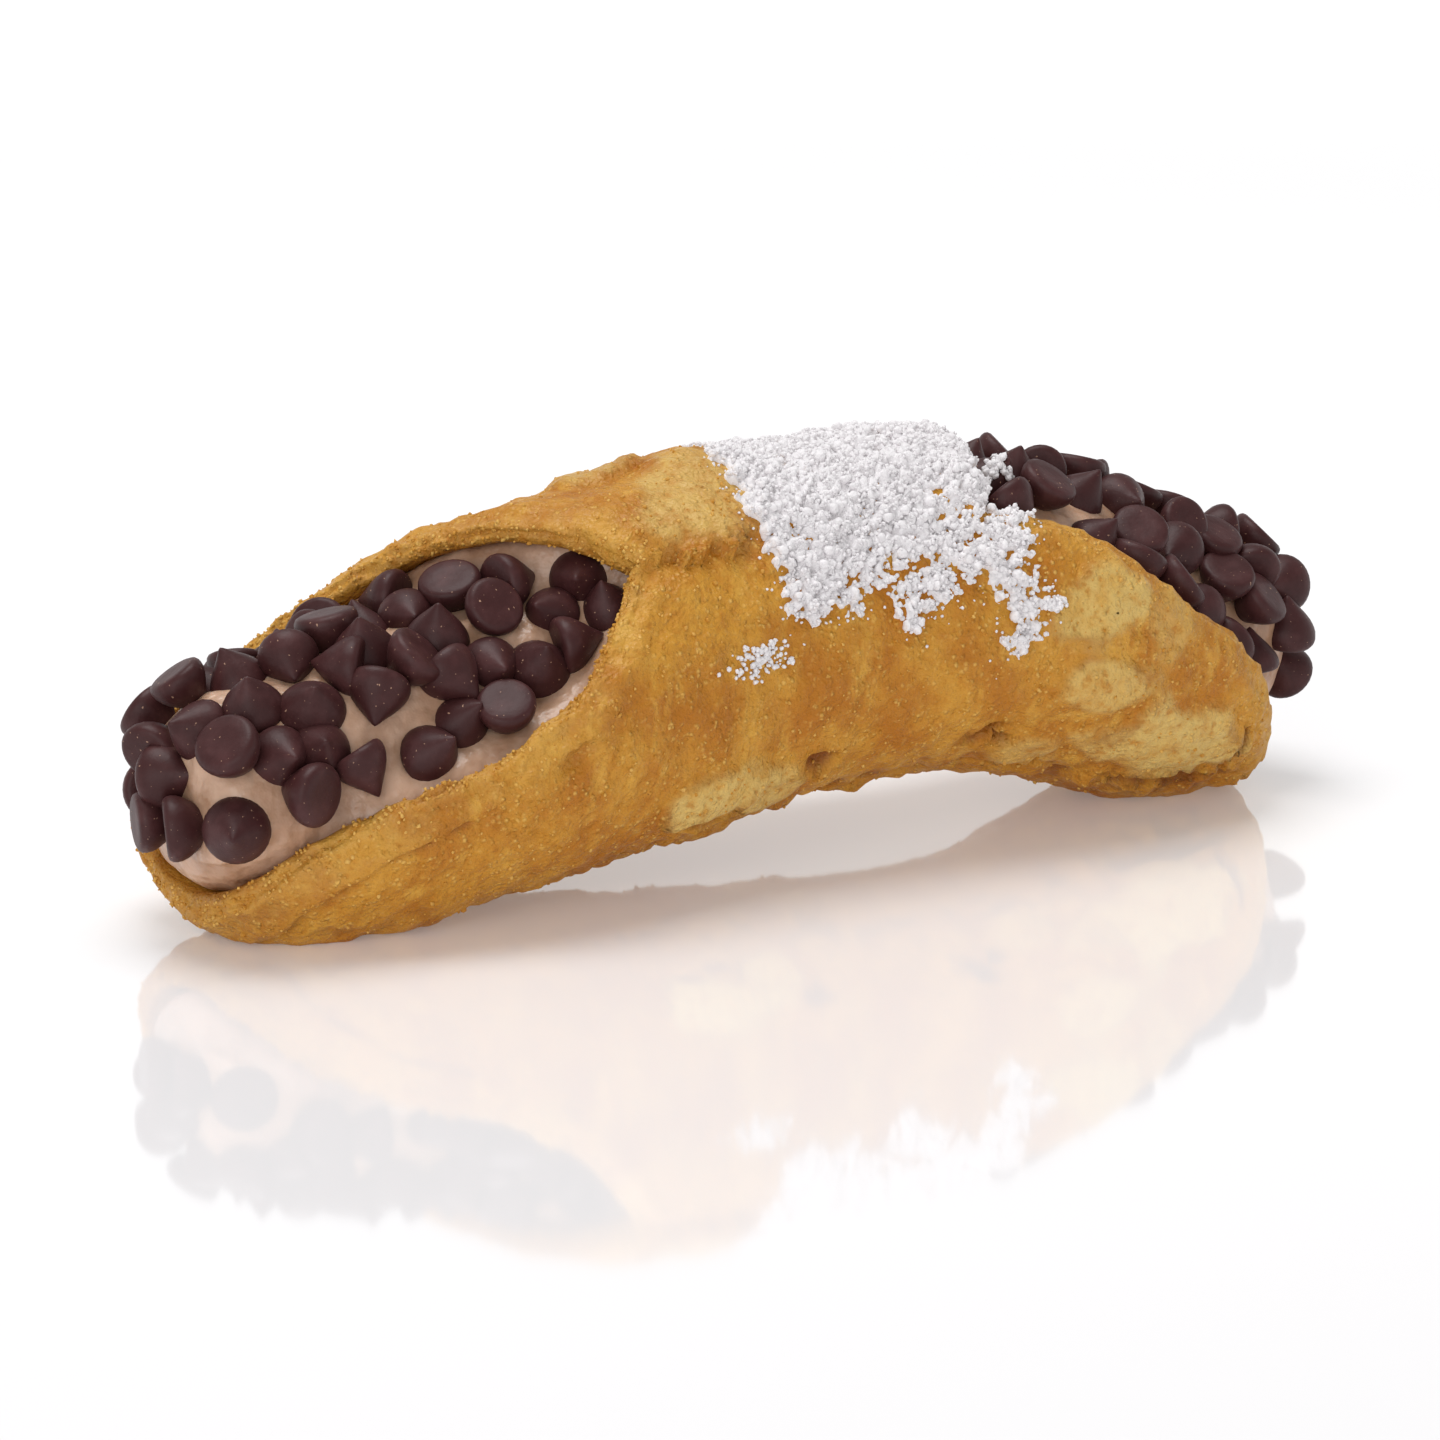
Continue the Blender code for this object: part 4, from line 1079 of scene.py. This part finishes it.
def make_sugar_skin(crust_tree):
    """The fused lumps of the powder as a closed body that lies in and on the crust."""
    (first, last), (low, high) = SUGAR_REGION
    along, degrees = np.meshgrid(
        np.linspace(first, last, int((last - first) / SUGAR_CELL)),
        np.linspace(low, high, int((high - low) * DEGREE / SUGAR_CELL)), indexing="ij",
    )
    height = sugar_height(along, degrees)
    found = on_crust(crust_tree, along.ravel(), degrees.ravel())
    missed = np.array([hit is None for hit, _ in found]).reshape(along.shape)
    found = [(hit or Vector(), normal or Vector((0, 0, 1))) for hit, normal in found]
    base, normal = np.moveaxis(np.array(found).reshape(*along.shape, 2, 3), 2, 0)
    radial = unit(base - at(along, np.radians(degrees), np.zeros_like(along)))
    normal = (normal + radial) / 2
    top = base + normal * height[..., None]
    bottom = base + radial * (SUGAR_SUNK - SUGAR_UNDERSIDE)
    shows = (height > SUGAR_SHOWS_FROM) & ~missed
    keep = shows[:-1, :-1] | shows[1:, :-1] | shows[:-1, 1:] | shows[1:, 1:]
    keep &= ~(missed[:-1, :-1] | missed[1:, :-1] | missed[:-1, 1:] | missed[1:, 1:])
    number = np.arange(along.size).reshape(along.shape)
    corners = [number[:-1, :-1][keep], number[1:, :-1][keep], number[1:, 1:][keep], number[:-1, 1:][keep]]
    lower = along.size
    faces = [np.stack(corners, -1), np.stack([corners[k] for k in (0, 3, 2, 1)], -1) + lower]
    padded = np.pad(keep, 1)
    for side, (step_i, step_j) in enumerate(((0, -1), (1, 0), (0, 1), (-1, 0))):
        at_edge = ~np.roll(padded, (-step_i, -step_j), (0, 1))[1:-1, 1:-1][keep]
        start, end = corners[side][at_edge], corners[(side + 1) % 4][at_edge]
        faces.append(np.stack([end, start, start + lower, end + lower], -1))
    used, faces = np.unique(np.concatenate(faces), return_inverse=True)
    points = np.concatenate([top.reshape(-1, 3), bottom.reshape(-1, 3)])[used]
    on_top = np.flatnonzero((height > 0.0).ravel() & ~missed.ravel() & np.isin(number, used).ravel())
    return points, faces.reshape(-1, 4), top.reshape(-1, 3)[on_top], normal.reshape(-1, 3)[on_top]


def pixel_ray(x, y):
    """Start and direction of the camera's ray through a pixel of the photograph."""
    right, up, back, place = camera_frame()
    across = (x - IMAGE_PIXELS / 2 - PRINCIPAL_PIXELS[0]) / FOCAL_PIXELS
    rise = (IMAGE_PIXELS / 2 + PRINCIPAL_PIXELS[1] - y) / FOCAL_PIXELS
    return place, (right * across + up * rise - back).normalized()


def stray_places(pick):
    """Where loose grains lie around the sugar, thinning outwards, and in the dusting beside it."""
    (first, last), (low, high) = SUGAR_REGION
    along = pick.uniform(first - STRAY_MARGIN[0], last + STRAY_MARGIN[1], STRAY_TRIES)
    degrees = pick.uniform(low - STRAY_MARGIN_DEGREES, high, STRAY_TRIES)
    outside = -edge_distance(along, degrees)
    chance = pick.uniform(0.0, 1.0, STRAY_TRIES)
    stray = np.flatnonzero((outside > 0) & (chance < np.exp(-outside / STRAY_FADE)))[:STRAYS]
    middle, turn, half_length, half_width = DUSTING
    dust_along = pick.normal(middle, half_length / 2, DUSTING_GRAINS)
    dust_degrees = turn + np.degrees(pick.normal(0.0, half_width / 2, DUSTING_GRAINS) / TUBE_RADIUS[2])
    return np.append(along[stray], dust_along), np.append(degrees[stray], dust_degrees)


def make_sugar(crust_tree, drop_tree, material):
    """Powdered sugar: the skin of lumps, clumps and grains on it, and strays around it and on a drop."""
    draw = random.Random(SUGAR_SEED)
    points, faces, tops, normals = make_sugar_skin(crust_tree)
    skin = new_object("sugar_powder", points, faces.tolist(), material)
    pick = np.random.default_rng(SUGAR_SEED)
    some = pick.integers(0, len(tops), SUGAR_CLUMPS)
    clump_radii = pick.uniform(*CLUMP_RADIUS, SUGAR_CLUMPS)
    clumps = tops[some] + normals[some] * (clump_radii * CLUMP_SITS)[:, None]
    some = pick.integers(0, len(tops), SUGAR_GRAINS)
    radii = pick.uniform(*GRAIN_RADIUS, SUGAR_GRAINS)
    places = list(tops[some] + normals[some] * (radii * GRAIN_SITS)[:, None])
    radii = list(radii)
    along, degrees = stray_places(pick)
    for number, (hit, normal) in enumerate(on_crust(crust_tree, along, degrees)):
        if hit is not None:
            dusting = number >= len(along) - DUSTING_GRAINS
            radius = draw.uniform(*(DUSTING_RADIUS if dusting else STRAY_RADIUS))
            places.append(hit + normal * radius * GRAIN_SITS)
            radii.append(radius)
    for (x, y), count, spread in SPILLS:
        start, direction = pixel_ray(x, y)
        for _ in range(count):
            offset = Vector((draw.gauss(0, spread), draw.gauss(0, spread), draw.gauss(0, spread)))
            hit, normal, _, _ = drop_tree.ray_cast(start + offset, direction)
            if hit is not None:
                radius = draw.uniform(*SPILL_RADIUS)
                places.append(hit + normal * radius * draw.uniform(*SPILL_SITS))
                radii.append(radius)
    big_points, big_faces = grain_mesh(clumps, clump_radii, *CLUMP_BALLS)
    small_points, small_faces = grain_mesh(places, radii, *GRAIN_BALLS)
    points = into_box(np.concatenate([big_points, small_points]))
    faces = np.concatenate([big_faces, small_faces + len(big_points)])
    return skin, new_object("sugar_clumps", points, faces.tolist(), material)


CRUMB_COUNT = 2900
CRUMB_TRIES = 17400
LIP_CRUMBS = 900
CRUMB_RADIUS = (0.08 * MM, 0.23 * MM)
CRUMB_VARIES = (0.6, 1.2)
CRUMB_SITS = 0.1
CRUMB_FROM_RIM = 0.5 * MM
CRUMB_EVERYWHERE = 0.3
CRUMB_RIM_REACH = 2.5 * MM
CRUMB_LOWEST = 1.0 * MM
CRUMB_SEED = 9


def make_crumbs(crust, crust_tree, material):
    """Fine crumbs that stick to the crust, closer together along the rims and on the lips."""
    pick = np.random.default_rng(CRUMB_SEED)
    along = pick.uniform(LEFT_TIP, RIGHT_TIP, CRUMB_TRIES)
    degrees = pick.uniform(0.0, 360.0, CRUMB_TRIES)
    phi = wrap(np.radians(degrees) - tip_direction(along))
    reach = np.where(phi > 0, rim_turn(along, 1), rim_turn(along, -1))
    to_rim = (reach - np.abs(phi)) * TUBE_RADIUS[1]
    chance = pick.uniform(0.0, 1.0, CRUMB_TRIES)
    wanted = CRUMB_EVERYWHERE + (1 - CRUMB_EVERYWHERE) * np.exp(-to_rim / CRUMB_RIM_REACH)
    good = (to_rim > CRUMB_FROM_RIM) & (chance < wanted)
    found = on_crust(crust_tree, along[good][:CRUMB_COUNT], degrees[good][:CRUMB_COUNT])
    sizes = pick.uniform(*CRUMB_RADIUS, len(found)) * pick.uniform(*CRUMB_VARIES, len(found))
    spots = [(hit, normal, radius) for (hit, normal), radius in zip(found, sizes) if hit is not None]
    left_lip = len(crust.data.vertices) - CRUST_LIP_LOOPS * CRUST_COLUMNS
    for _ in range(LIP_CRUMBS):
        vertex = crust.data.vertices[left_lip + int(pick.integers(0, CRUST_LIP_LOOPS * CRUST_COLUMNS))]
        spots.append((vertex.co, vertex.normal, float(pick.uniform(*CRUMB_RADIUS))))
    spots = [spot for spot in spots if spot[0].z > CRUMB_LOWEST]
    places = [place + normal * radius * CRUMB_SITS for place, normal, radius in spots]
    points, faces = grain_mesh(places, [radius for _, _, radius in spots], *CRUMB_BALLS)
    return new_object("crust_crumbs", into_box(points), faces.tolist(), material)


class Nodes:
    """Adds nodes to one node tree."""

    def __init__(self, tree):
        self.tree = tree

    def feed(self, socket, value):
        """Sets a socket to a value, or links it to another node's output."""
        if isinstance(value, bpy.types.NodeSocket):
            self.tree.links.new(value, socket)
        else:
            socket.default_value = value

    def feed_all(self, node, **values):
        """Feeds the node's sockets by their names, with _ for a space."""
        for name, value in values.items():
            self.feed(node.inputs[name.replace("_", " ")], value)

    def node(self, kind, **values):
        node = self.tree.nodes.new("ShaderNode" + kind)
        self.feed_all(node, **values)
        return node


class Paint(Nodes):
    """Adds nodes to one new material."""

    def __init__(self, name):
        self.material = bpy.data.materials.new(name)
        self.material.use_nodes = True
        super().__init__(self.material.node_tree)
        self.shader = self.tree.nodes["Principled BSDF"]
        self.place = self.node("TexCoord").outputs["Object"]

    def noise(self, size, detail=3.0, roughness=0.55, stretch=1.0, turn=0.0):
        """Noise of a size, drawn out along Z by stretch below 1 and turned round Y."""
        place = self.node("Mapping", Vector=self.place, Scale=(1.0, 1.0, stretch), Rotation=(0.0, turn, 0.0))
        noise = self.node("TexNoise", Vector=place.outputs["Vector"], Scale=1 / size, Detail=detail)
        self.feed_all(noise, Roughness=roughness)
        return noise.outputs["Fac"]

    def cells(self, size):
        """Distance to the nearest grain middle, in grain sizes."""
        return self.node("TexVoronoi", Vector=self.place, Scale=1 / size).outputs["Distance"]

    def mask(self, name):
        node = self.node("Attribute")
        node.attribute_name = name
        return node.outputs["Fac"]

    def span(self, value, low, high, to_low=0.0, to_high=1.0):
        """The value from low to high turned smoothly to the range from to_low to to_high."""
        node = self.node("MapRange", Value=value, From_Min=low, From_Max=high, To_Min=to_low, To_Max=to_high)
        node.interpolation_type = "SMOOTHSTEP"
        return node.outputs["Result"]

    def math(self, operation, a, b):
        node = self.node("Math")
        node.operation = operation
        self.feed(node.inputs[0], a)
        self.feed(node.inputs[1], b)
        return node.outputs["Value"]

    def mix(self, factor, a, b):
        node = self.node("Mix")
        node.data_type = "RGBA"
        colours = [socket for socket in node.inputs if socket.type == "RGBA"]
        for socket, value in zip([node.inputs["Factor"]] + colours, (factor, a, b)):
            self.feed(socket, value)
        return next(socket for socket in node.outputs if socket.type == "RGBA")

    def speckle(self, a, b, size, detail, low, high):
        """Two colours in patches of noise."""
        return self.mix(self.span(self.noise(size, detail), low, high), a, b)

    def finish(self, height, distance, strength=1.0, **values):
        """Sets the shader's sockets, with a bump of the height."""
        bump = self.node("Bump", Height=height, Distance=distance, Strength=strength)
        self.feed_all(self.shader, Normal=bump.outputs["Normal"], **values)
        return self.material


def srgb(red, green, blue):
    """Linear colour, with full alpha, of an sRGB value from 0 to 255."""
    shares = (red / 255, green / 255, blue / 255)
    return (*(s / 12.92 if s <= 0.04045 else ((s + 0.055) / 1.055) ** 2.4 for s in shares), 1.0)


WHITE = (1.0, 1.0, 1.0, 1.0)
GOLDEN = srgb(199, 141, 46)
HONEY = srgb(176, 109, 20)
# Toasted colour, also used for the painted shade on the crust.
TOASTED_AND_SHADED = srgb(122, 60, 10)
STRAW = srgb(212, 178, 102)
YELLOW = srgb(212, 160, 64)
CRUMBLY = srgb(226, 178, 88)
CRUMB_COLOURS = (srgb(220, 174, 90), srgb(196, 137, 48))
CREAM_COLOURS = (srgb(176, 136, 108), srgb(205, 168, 142))
CHOCOLATE_COLOURS = (srgb(62, 31, 31), srgb(86, 52, 52))
CHOCOLATE_DUST = srgb(190, 150, 125)
SUGAR_COLOURS = (srgb(246, 243, 244), srgb(234, 230, 232))
FLOOR_COLOURS = (srgb(240, 238, 240), srgb(246, 245, 246))

# Patches of the crust, each over the one before: colour, noise (size, detail, roughness, stretch, turn) and
# the span (from, to, least, most).
CRUST_PATCHES = (
    (GOLDEN, (8.0 * MM, 5.0, 0.6), (0.36, 0.64)),
    (YELLOW, (3.0 * MM, 4.0, 0.6, 0.3, 0.35), (0.50, 0.72, 0.0, 0.8)),
    (HONEY, (3.6 * MM, 5.0, 0.65), (0.54, 0.72, 0.0, 0.65)),
)
GRAIN_CELL = 0.62 * MM
# Strength of the toasting and painted shade taken from the mask.
TOAST_AND_SHADE_SHARE = 0.85
GRAIN_HEIGHT = 0.38
FINEST_HEIGHT = 0.42
CRUST_BUMP = 0.36 * MM
SMEAR_GRAIN = 0.14


def crust_material():
    """Golden fried crust: patches and streaks, straw blisters, toasted spots and blister ridges, painted
    shade in pits, grooves, crag hollows and towards the lips' inner edges, and a crumbly skin.
    """
    paint = Paint("fried_dough_fine")
    base = HONEY
    for colour, noise, span in CRUST_PATCHES:
        base = paint.mix(paint.span(paint.noise(*noise), *span), base, colour)
    mottled = paint.span(paint.noise(1.8 * MM, 4.0), 0.3, 0.6, 0.45, 1.0)
    base = paint.mix(paint.math("MULTIPLY", paint.mask("pale"), mottled), base, STRAW)
    crumbly = paint.span(paint.noise(3.2 * MM), 0.40, 0.60, 0.25, 1.0)
    grains = paint.math("MULTIPLY", paint.span(paint.cells(GRAIN_CELL), 0.10, 0.55, 1.0, 0.0), crumbly)
    fine = paint.noise(0.9 * MM, 2.0)
    flecks = paint.math("MULTIPLY", grains, paint.span(fine, 0.46, 0.60, 0.0, 0.9))
    base = paint.mix(flecks, base, CRUMBLY)
    base = paint.mix(paint.span(fine, 0.28, 0.44, 0.45, 0.0), base, HONEY)
    spots = paint.span(paint.noise(4.5 * MM, 5.0, 0.65), 0.60, 0.76, 0.0, 0.4)
    spots = paint.math("MULTIPLY", spots, paint.span(paint.mask("pale"), 0.0, 0.6, 1.0, 0.0))
    # Toasted spots and the mask of toasting with painted shade darken the crust.
    browned_and_shaded = paint.math("MAXIMUM", paint.math("MULTIPLY", paint.mask("toast_and_shade"), TOAST_AND_SHADE_SHARE), spots)
    base = paint.mix(browned_and_shaded, base, TOASTED_AND_SHADED)
    height = paint.math("ADD", paint.math("MULTIPLY", grains, GRAIN_HEIGHT), fine)
    finest = paint.math("MULTIPLY", paint.noise(0.34 * MM, 1.0, 0.5), FINEST_HEIGHT)
    roughness = paint.span(fine, 0.35, 0.65, 0.60, 0.40)
    height = paint.math("ADD", height, finest)
    return paint.finish(height, CRUST_BUMP, Base_Color=base, Roughness=roughness, Specular_IOR_Level=0.30)


def crumb_material():
    """Pale toasted crumbs."""
    paint = Paint("crumbs_fine")
    base = paint.speckle(*CRUMB_COLOURS, 2.0 * MM, 3.0, 0.4, 0.6)
    grain = paint.noise(0.15 * MM)
    return paint.finish(grain, 0.05 * MM, Base_Color=base, Roughness=0.6, Specular_IOR_Level=0.3)


def cream_material():
    """Tan cream with a soft gloss and a fine grain."""
    paint = Paint("cream_fine")
    base = paint.speckle(*CREAM_COLOURS, 4.0 * MM, 4.0, 0.35, 0.65)
    grain = paint.math("MULTIPLY", paint.noise(0.9 * MM, 2.0, 0.5), SMEAR_GRAIN)
    smear = paint.math("ADD", paint.noise(3.4 * MM, 2.0, 0.5, 0.45, 0.6), grain)
    return paint.finish(
        smear, 1.0 * MM, Base_Color=base, Roughness=0.30,
        Subsurface_Weight=0.2, Subsurface_Scale=1.2 * MM, Subsurface_Radius=(1.0, 0.6, 0.4),
    )


def chocolate_material():
    """Dark chocolate with a satin surface, a faint bloom and pale dust specks."""
    paint = Paint("chocolate_fine")
    bloom = paint.span(paint.noise(2.6 * MM, 4.0), 0.4, 0.7, 0.0, 0.55)
    dust = paint.span(paint.noise(0.34 * MM, 1.0), 0.73, 0.78, 0.0, 0.8)
    base = paint.mix(dust, paint.mix(bloom, *CHOCOLATE_COLOURS), CHOCOLATE_DUST)
    grain = paint.noise(0.6 * MM, 4.0)
    return paint.finish(grain, 0.06 * MM, 0.7, Base_Color=base, Roughness=0.46, Specular_IOR_Level=0.24)


def sugar_material():
    """White powder, faintly translucent, with a fine grain."""
    paint = Paint("sugar_fine")
    base = paint.mix(paint.noise(0.6 * MM), *SUGAR_COLOURS)
    return paint.finish(
        paint.noise(0.24 * MM, 2.0, 0.6), 0.15 * MM, Base_Color=base, Roughness=0.85, Specular_IOR_Level=0.2,
        Subsurface_Weight=0.15, Subsurface_Scale=0.3 * MM, Subsurface_Radius=(1.0, 1.0, 1.0),
    )


# Photograph: camera at the left front, long lens, image of 1440 pixels a side.
CAMERA_TURN = math.radians(-33.0)
CAMERA_RISE = math.radians(13.0)
CAMERA_DISTANCE = 390.0 * MM
CAMERA_AIM_HEIGHT = 16.5 * MM
IMAGE_PIXELS = 1440
FOCAL_PIXELS = 3950
PRINCIPAL_PIXELS = (11, -27)
SENSOR = 36.0
CLIP_START = 10.0 * MM


def camera_frame():
    """Right, up, back and place of the photograph's camera."""
    back = Vector((
        math.sin(CAMERA_TURN) * math.cos(CAMERA_RISE),
        -math.cos(CAMERA_TURN) * math.cos(CAMERA_RISE),
        math.sin(CAMERA_RISE),
    ))
    right = Vector((math.cos(CAMERA_TURN), math.sin(CAMERA_TURN), 0.0))
    place = Vector((SHIFT_X, SHIFT_Y, CAMERA_AIM_HEIGHT)) + back * CAMERA_DISTANCE
    return right, back.cross(right), back, place


def make_camera():
    """The photograph's camera."""
    right, up, back, place = camera_frame()
    lens = bpy.data.cameras.new("camera")
    lens.sensor_width = SENSOR
    lens.lens = FOCAL_PIXELS / IMAGE_PIXELS * SENSOR
    lens.shift_x = -PRINCIPAL_PIXELS[0] / IMAGE_PIXELS
    lens.shift_y = PRINCIPAL_PIXELS[1] / IMAGE_PIXELS
    lens.clip_start = CLIP_START
    camera = bpy.data.objects.new("camera", lens)
    bpy.context.scene.collection.objects.link(camera)
    matrix = Matrix((right, up, back)).transposed().to_4x4()
    matrix.translation = place
    camera.matrix_world = matrix
    bpy.context.scene.camera = camera


# Studio: floor, surroundings that fade from the horizon upwards, and lights (place, size, power).
FLOOR_HALF = 6.0
FLOOR_PATCH = 0.4
FLOOR_GLOW = 0.13
SKY_HORIZON = 1.16
SKY_ABOVE = 0.34
SKY_FADE = (0.05, 0.55)
LIGHTS = {
    "overhead": ((-0.05, 0.12, 0.75), 0.45, 3.8),
    "front": ((-0.60, -0.50, 0.30), 0.5, 1.7),
}
LIGHT_AIM = Vector((0.0, 0.0, 0.02))


def add_light(name, place, size, power):
    """A square soft light that looks at the object."""
    data = bpy.data.lights.new(name, "AREA")
    data.energy = power
    data.size = size
    light = bpy.data.objects.new(name, data)
    bpy.context.scene.collection.objects.link(light)
    light.location = place
    light.rotation_euler = (LIGHT_AIM - Vector(place)).to_track_quat("-Z", "Y").to_euler()


def make_studio():
    """Glossy white floor, surroundings bright near the horizon, and soft lights."""
    paint = Paint("floor")
    base = paint.mix(paint.noise(FLOOR_PATCH), *FLOOR_COLOURS)
    paint.feed_all(paint.shader, Base_Color=base, Roughness=0.06, Specular_IOR_Level=0.5, IOR=2.8)
    paint.feed_all(paint.shader, Emission_Color=WHITE, Emission_Strength=FLOOR_GLOW)
    corners = [(x * FLOOR_HALF, y * FLOOR_HALF, 0.0) for x, y in ((-1, -1), (1, -1), (1, 1), (-1, 1))]
    floor = new_object("floor", corners, [(0, 1, 2, 3)], paint.material)
    scene = bpy.context.scene
    scene.world = bpy.data.worlds.new("studio")
    scene.world.use_nodes = True
    sky = Nodes(scene.world.node_tree)
    split = sky.node("SeparateXYZ", Vector=sky.node("TexCoord").outputs["Generated"])
    fade = sky.node("MapRange", Value=split.outputs["Z"], From_Min=SKY_FADE[0], From_Max=SKY_FADE[1])
    sky.feed_all(fade, To_Min=SKY_HORIZON, To_Max=SKY_ABOVE)
    sky.feed_all(sky.tree.nodes["Background"], Strength=fade.outputs["Result"], Color=WHITE)
    for name, (place, size, power) in LIGHTS.items():
        add_light(name, place, size, power)
    scene.view_settings.view_transform = "Standard"
    scene.view_settings.look = "None"


def main():
    make_camera()
    dimples = make_dimples()
    crust = make_crust(dimples, make_pores(), crust_material())
    graph = bpy.context.evaluated_depsgraph_get()
    crust_tree = BVHTree.FromObject(crust, graph)
    cream = make_cream(cream_material())
    drops = make_drops(solid_drop_places(dimples), chocolate_material())
    graph.update()
    drop_tree = BVHTree.FromObject(drops, graph)
    powder, clumps = make_sugar(crust_tree, drop_tree, sugar_material())
    crumbs = make_crumbs(crust, crust_tree, crumb_material())
    pieces = (crust, crumbs, cream, drops, powder, clumps)
    for piece, slot in zip(pieces, ("fried_dough", "fried_dough", "cream", None, "sugar", "sugar")):
        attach(piece, "root")
    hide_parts("shell")
    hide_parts("filling")
    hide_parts("filling")
    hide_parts("powdered_sugar")
    make_studio()


main()
